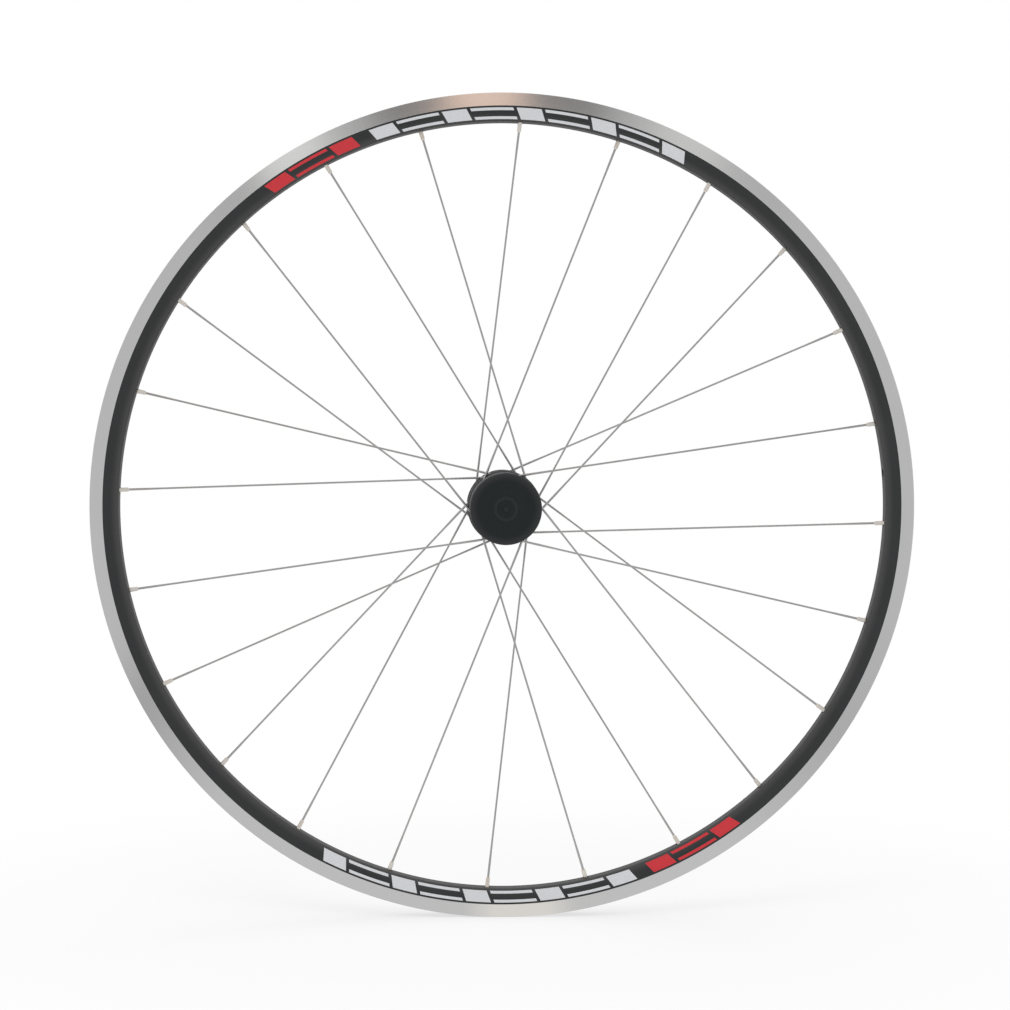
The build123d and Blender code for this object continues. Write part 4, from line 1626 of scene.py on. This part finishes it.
@dataclass
class Axle:
    """The two end caps that show at the ends of the axle."""

    nub_r: float = 5.0
    nub_l: float = 5.0
    skewer_r: float = 2.65
    axle_r: float = 7.52
    sleeve_r: float = 9.2
    nut_r: float = 10.6
    nut_l: float = 8.0
    nut_flats: float = 17.0
    nut_edge: float = 0.6
    flat_spare: float = 1.0
    cap_wall: float = 5.0
    cap_edge: float = 0.5
    root_setback: float = 0.3
    sleeve_edge: float = 0.2
    bore_edge: float = 0.4
    steps: int = 96

    def build(self, rack: FinishRack) -> None:
        """Build and dress both end caps.

        Args:
            rack: The materials.
        """
        low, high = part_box("end_cap_left")
        self.cap("axle_cap_left", "end_cap_left", low.y / MM, high.y / MM, True, rack)
        low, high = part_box("end_cap_right")
        self.cap("axle_cap_right", "end_cap_right", high.y / MM, low.y / MM, False, rack)

    def cap(self, name: str, node: str, inner_y: float, end_y: float, nut: bool, rack: FinishRack) -> None:
        """Build and dress one end cap.

        Args:
            name: The piece's name.
            node: The CAD node that it stands for.
            inner_y: Where its sleeve meets the bearing.
            end_y: The end of its nub.
            nut: True for the cap with wrench flats.
            rack: The materials.
        """
        way = 1.0 if end_y > inner_y else -1.0
        shoulder_y = end_y - way * self.nub_l
        floor_y = shoulder_y - way * self.cap_wall
        nut_y = shoulder_y - way * self.nut_l
        body = [Corner(self.sleeve_r, shoulder_y, self.cap_edge)]
        if nut:
            body = [
                Corner(self.sleeve_r, nut_y, self.root_setback),
                Corner(self.nut_r, nut_y, self.cap_edge),
                Corner(self.nut_r, shoulder_y, self.nut_edge),
            ]
        section = [
            Corner(self.axle_r, inner_y, self.sleeve_edge),
            Corner(self.sleeve_r, inner_y, self.sleeve_edge),
            *body,
            Corner(self.nub_r, shoulder_y, self.root_setback),
            Corner(self.nub_r, end_y, self.cap_edge),
            Corner(self.skewer_r, end_y, self.bore_edge),
            Corner(self.skewer_r, floor_y),
            Corner(self.axle_r, floor_y),
        ]
        work = Workpiece()
        work.turn(section, self.steps)
        made = work.to_object(name)
        if nut:
            bore(made, self.flats(nut_y, shoulder_y, way))
        even_shading(made)
        settle(made, "axle_set", (rack.alloy,), (node,))

    def flats(self, nut_y: float, shoulder_y: float, way: float) -> Workpiece:
        """Return the two blocks that mill the wrench flats.

        Args:
            nut_y: Where the nut starts.
            shoulder_y: Where it ends.
            way: The direction from the one to the other.

        Returns:
            The blocks as one workpiece.
        """
        work = Workpiece()
        depth = self.nut_r
        length = abs(shoulder_y - nut_y) + self.flat_spare
        for turn in (1.0, -1.0):
            block = bmesh.new()
            middle = (turn * (self.nut_flats / 2 + depth / 2), nut_y + way * length / 2, 0.0)
            size = Matrix.Diagonal((depth, length, 4 * self.nut_r, 1.0))
            bmesh.ops.create_cube(block, size=1.0, matrix=Matrix.Translation(middle) @ size)
            work.take(block)
        return work


@dataclass
class Freehub:
    """The splined driver body and the plastic cover pushed over it."""

    collar_r: float = 17.45
    collar_wall: float = 1.5
    collar_y: float = -46.0
    wall: float = 1.6
    mouth_y: float = -29.0
    edge: float = 2.2
    ring_r: float = 7.9
    ring_w: float = 2.4
    ring_h: float = 0.4
    ring_edge: float = 0.2
    ring_root_setback: float = 0.15
    dimple_r: float = 2.4
    dimple_depth: float = 0.5
    lip_edge: float = 0.4
    collar_edge: float = 0.3
    cup_setback: float = 0.6
    spline_angle: float = 38.0
    spline_edge: float = 0.15
    steps: int = 144

    def build(self, rack: FinishRack) -> None:
        """Build and dress the cover and the driver body.

        Args:
            rack: The materials.
        """
        low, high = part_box("freehub_cover")
        cover_r = high.x / MM
        front_y = low.y / MM + self.ring_h
        work = Workpiece()
        work.turn(self.cover_section(cover_r, front_y), self.steps)
        made = work.to_object("cover_cup")
        even_shading(made)
        settle(made, "cover", (rack.plastic,), ("freehub_cover",))
        body = Workpiece()
        body.take_node("freehub_body")
        body.soften(radians(self.spline_angle), self.spline_edge)
        made = body.to_object("driver_body")
        even_shading(made)
        settle(made, "freehub", (rack.freehub,), ("freehub_body",))

    def cover_section(self, cover_r: float, front_y: float) -> list[Corner]:
        """Return the corners of the cover's section, from the dimple outwards and back inside.

        Args:
            cover_r: The cup's outside radius.
            front_y: Where its flat front lies.

        Returns:
            The corners in order.
        """
        plate_y = front_y + self.wall
        cup_r = cover_r - self.wall
        outer_collar_r = self.collar_r + self.collar_wall
        ring_low, ring_high = self.ring_r - self.ring_w / 2, self.ring_r + self.ring_w / 2
        top_y = front_y - self.ring_h
        dimple_y = front_y + self.dimple_depth
        return [
            Corner(0.0, dimple_y),
            Corner(self.dimple_r, dimple_y, self.ring_edge),
            Corner(self.dimple_r, front_y, self.ring_edge),
            Corner(ring_low, front_y, self.ring_root_setback),
            Corner(ring_low, top_y, self.ring_edge),
            Corner(ring_high, top_y, self.ring_edge),
            Corner(ring_high, front_y, self.ring_root_setback),
            Corner(cover_r, front_y, self.edge),
            Corner(cover_r, self.mouth_y, self.lip_edge),
            Corner(cup_r, self.mouth_y, self.lip_edge),
            Corner(cup_r, plate_y, self.cup_setback),
            Corner(outer_collar_r, plate_y, self.lip_edge),
            Corner(outer_collar_r, self.collar_y, self.collar_edge),
            Corner(self.collar_r, self.collar_y, self.collar_edge),
            Corner(self.collar_r, plate_y, self.lip_edge),
            Corner(0.0, plate_y),
        ]


class Inside:
    """The CAD nodes that stay as they are, inside the hub, with their finishes."""

    @staticmethod
    def build(rack: FinishRack) -> None:
        """Dress every node that is still shown, by the record's material slot that it came with.

        Args:
            rack: The materials.
        """
        finishes = {
            "axle_alloy": rack.alloy,
            "bearing_steel": rack.bearing,
            "freehub_steel": rack.freehub,
            "seal_rubber": rack.rubber,
        }
        shown = {name: node for name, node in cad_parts.items() if not node.hide_render}
        for name, node in shown.items():
            slot = next(key for key in finishes if node.data.materials[0].name.startswith(key))
            node.data.materials.clear()
            node.data.materials.append(finishes[slot])
            LOG.info("%s keeps its shape, slot %s", name, slot)


@dataclass(frozen=True)
class Softbox:
    """A broad soft lamp that faces the wheel's centre and shows in no reflection."""

    name: str
    place: tuple[float, float, float]
    size: float
    watts: float

    def hang(self) -> None:
        """Add the lamp to the scene."""
        data = bpy.data.lights.new(self.name, "AREA")
        data.shape = "SQUARE"
        data.size = self.size
        data.energy = self.watts
        made = show(self.name, data)
        made.location = self.place
        made.rotation_euler = Vector(self.place).to_track_quat("Z", "Y").to_euler()
        made.visible_glossy = False


@dataclass
class Studio:
    """The white studio: floor, light and camera."""

    azimuth: float = -1.52
    elevation: float = 1.59
    distance: float = 1.803
    focal_px: float = 2335.0
    frame_px: float = 1010.0
    centre_px: Span = (503.43, 506.41)
    sensor_w: float = 36.0
    near: float = 0.05
    ambient: float = 0.75
    room_depth: Span = (-0.75, 0.1)
    floor_depth: Span = (-0.05, 0.35)
    floor_fade: Span = (0.32, 0.75)
    floor_glow: Span = (0.72, 1.0)
    floor_size: float = 12.0
    floor_cells: int = 4
    paper: float = 0.86
    lamps: Sequence[Softbox] = (
        Softbox("key", (-0.7, -1.9, 2.0), 1.4, 26.0),
        Softbox("fill", (1.2, 1.9, 1.6), 1.6, 14.0),
    )
    room: Sequence[tuple[float, Colour]] = (
        (0.0, grey(0.70)),
        (42.0, grey(0.68)),
        (50.0, grey(0.58)),
        (56.0, grey(0.62)),
        (59.0, (0.82, 0.82, 0.81)),
        (66.0, (0.84, 0.84, 0.83)),
        (70.0, grey(0.64)),
        (74.5, grey(0.52)),
        (77.0, grey(0.26)),
        (86.0, (0.26, 0.25, 0.25)),
        (88.5, (1.12, 0.84, 0.68)),
        (97.0, (1.12, 0.84, 0.68)),
        (99.5, (0.30, 0.28, 0.27)),
        (106.5, grey(0.22)),
        (110.0, grey(0.54)),
        (115.0, grey(0.62)),
        (117.5, (1.00, 1.00, 0.99)),
        (124.5, (1.02, 1.02, 1.00)),
        (127.5, grey(0.55)),
        (132.0, grey(0.56)),
        (140.0, grey(0.66)),
        (180.0, grey(0.71)),
        (206.0, grey(0.72)),
        (213.0, grey(0.48)),
        (229.0, grey(0.73)),
        (264.5, grey(0.76)),
        (268.5, (1.00, 0.97, 0.92)),
        (276.5, (1.00, 0.97, 0.92)),
        (280.5, grey(0.77)),
        (304.0, grey(0.75)),
        (325.0, grey(0.59)),
        (344.0, grey(0.70)),
    )

    def build(self) -> None:
        """Set the view, the world, the floor, the lamps and the camera."""
        bpy.context.scene.view_settings.view_transform = "Standard"
        self.world()
        self.floor()
        for lamp in self.lamps:
            lamp.hang()
        self.camera()

    def back(self) -> Vector:
        """Return the direction from the wheel to the camera."""
        az, el = radians(self.azimuth), radians(self.elevation)
        return Vector((sin(az) * cos(el), -cos(az) * cos(el), sin(el)))

    def camera(self) -> None:
        """Set the camera where the photograph was taken from."""
        back = self.back()
        right = back.cross(DOWN).normalized()
        up = back.cross(right)
        px = self.distance / self.focal_px
        middle = self.frame_px / 2
        aim = right * (middle - self.centre_px[0]) * px + up * (self.centre_px[1] - middle) * px
        data = bpy.data.cameras.new("camera")
        data.sensor_width = self.sensor_w
        data.lens = data.sensor_width * self.focal_px / self.frame_px
        data.clip_start = self.near
        made = show("camera", data)
        made.location = back * self.distance
        made.rotation_euler = (made.location - aim).to_track_quat("Z", "Y").to_euler()
        bpy.context.scene.camera = made

    def world(self) -> None:
        """Make the surroundings white to the eye, a room to metal and a plain level of light to the rest."""
        world = bpy.data.worlds.new("studio")
        bpy.context.scene.world = world
        world.use_nodes = True
        bench = NodeBench(world.node_tree)
        path = bench.node("ShaderNodeLightPath").outputs
        seen = bench.math("MAXIMUM", path["Is Camera Ray"], path["Is Transmission Ray"])
        colour = bench.mix(path["Is Glossy Ray"], grey(self.ambient), self.mirrored_room(bench))
        background = world.node_tree.nodes["Background"]
        bench.feed(background.inputs["Color"], bench.mix(seen, colour, WHITE))

    def mirrored_room(self, bench: NodeBench) -> Socket:
        """Return what metal mirrors: a white room, dim in front, with its lamps set round the camera.

        Args:
            bench: The world's tree.

        Returns:
            The colour in a ray's direction.
        """
        x, y, z = bench.split(bench.node("ShaderNodeTexCoord").outputs["Generated"])
        back = self.back()
        ring = self.room_ring(bench, bench.math("ADD", x, back.x), bench.math("ADD", z, back.z))
        return bench.mix(bench.step(y, *self.room_depth), ring, WHITE)

    def room_ring(self, bench: NodeBench, across: Socket, up: Socket) -> Socket:
        """Colour the room round the wheel.

        Args:
            bench: The tree of the world or of the floor.
            across: A direction's part across the wheel.
            up: Its part upwards.

        Returns:
            The room's colour in that direction.
        """
        turn = bench.math("ARCTAN2", up, across)
        ramp = bench.node("ShaderNodeValToRGB")
        bench.feed(ramp.inputs[0], bench.math("FRACT", bench.math("DIVIDE", turn, FULL_TURN)))
        stops = ramp.color_ramp.elements
        stops.remove(stops[-1])
        for degrees, colour in self.room:
            stop = stops[0] if degrees == 0.0 else stops.new(degrees / 360.0)
            stop.color = (*colour, 1.0)
        return ramp.outputs[0]

    def floor(self) -> None:
        """Lay a pale floor that fades into the white surroundings and keeps the wheel's shadow."""
        bm = bmesh.new()
        lowest = Matrix.Translation((0.0, 0.0, CAD_BOX[0].z))
        cells, half = self.floor_cells, self.floor_size / 2
        bmesh.ops.create_grid(bm, x_segments=cells, y_segments=cells, size=half, matrix=lowest)
        mesh = bpy.data.meshes.new("floor")
        bm.to_mesh(mesh)
        bm.free()
        made = show("floor", mesh)
        mesh.materials.append(self.floor_paper())

    def floor_paper(self) -> bpy.types.Material:
        """Make the floor's material: matt paper that glows to the eye, and mirrors as the room does.

        Returns:
            The new material.
        """
        material = bpy.data.materials.new("floor_paper")
        material.use_nodes = True
        bench = NodeBench(material.node_tree)
        nodes = material.node_tree.nodes
        nodes.remove(nodes["Principled BSDF"])
        paper = bench.node("ShaderNodeBsdfDiffuse")
        bench.feed(paper.inputs["Color"], (*grey(self.paper), 1.0))
        path = bench.node("ShaderNodeLightPath").outputs
        x, y, z = bench.split(bench.place())
        behind = bench.step(y, *self.floor_depth)
        mirrored = bench.mix(behind, self.room_ring(bench, x, z), WHITE)
        glow = bench.node("ShaderNodeEmission")
        bench.feed(glow.inputs["Color"], bench.mix(path["Is Glossy Ray"], WHITE, mirrored))
        reach = bench.node("ShaderNodeVectorMath", operation="LENGTH")
        bench.feed(reach.inputs[0], bench.place())
        fade = bench.step(reach.outputs["Value"], *self.floor_fade, *self.floor_glow)
        clear = bench.math("MAXIMUM", path["Is Glossy Ray"], path["Is Transmission Ray"])
        share = bench.math("MAXIMUM", clear, bench.math("MULTIPLY", fade, path["Is Camera Ray"]))
        mixed = bench.node("ShaderNodeMixShader")
        bench.feed(mixed.inputs[0], share)
        bench.feed(mixed.inputs[1], paper.outputs[0])
        bench.feed(mixed.inputs[2], glow.outputs[0])
        bench.feed(nodes["Material Output"].inputs["Surface"], mixed.outputs[0])
        return material


def main() -> None:
    """Build the wheel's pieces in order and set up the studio."""
    logging.basicConfig(level=logging.INFO, format="%(name)s: %(message)s")
    rack = FinishRack(Effects())
    lacing = Lacing()
    rim_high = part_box("rim")[1]
    Rim(rim_high.x / MM, rim_high.y / MM, lacing.spokes()).build(rack)
    lacing.build(rack)
    HubShell(lacing).build(rack)
    Axle().build(rack)
    Freehub().build(rack)
    Inside.build(rack)
    Studio().build()


if __name__ == "__main__":
    main()
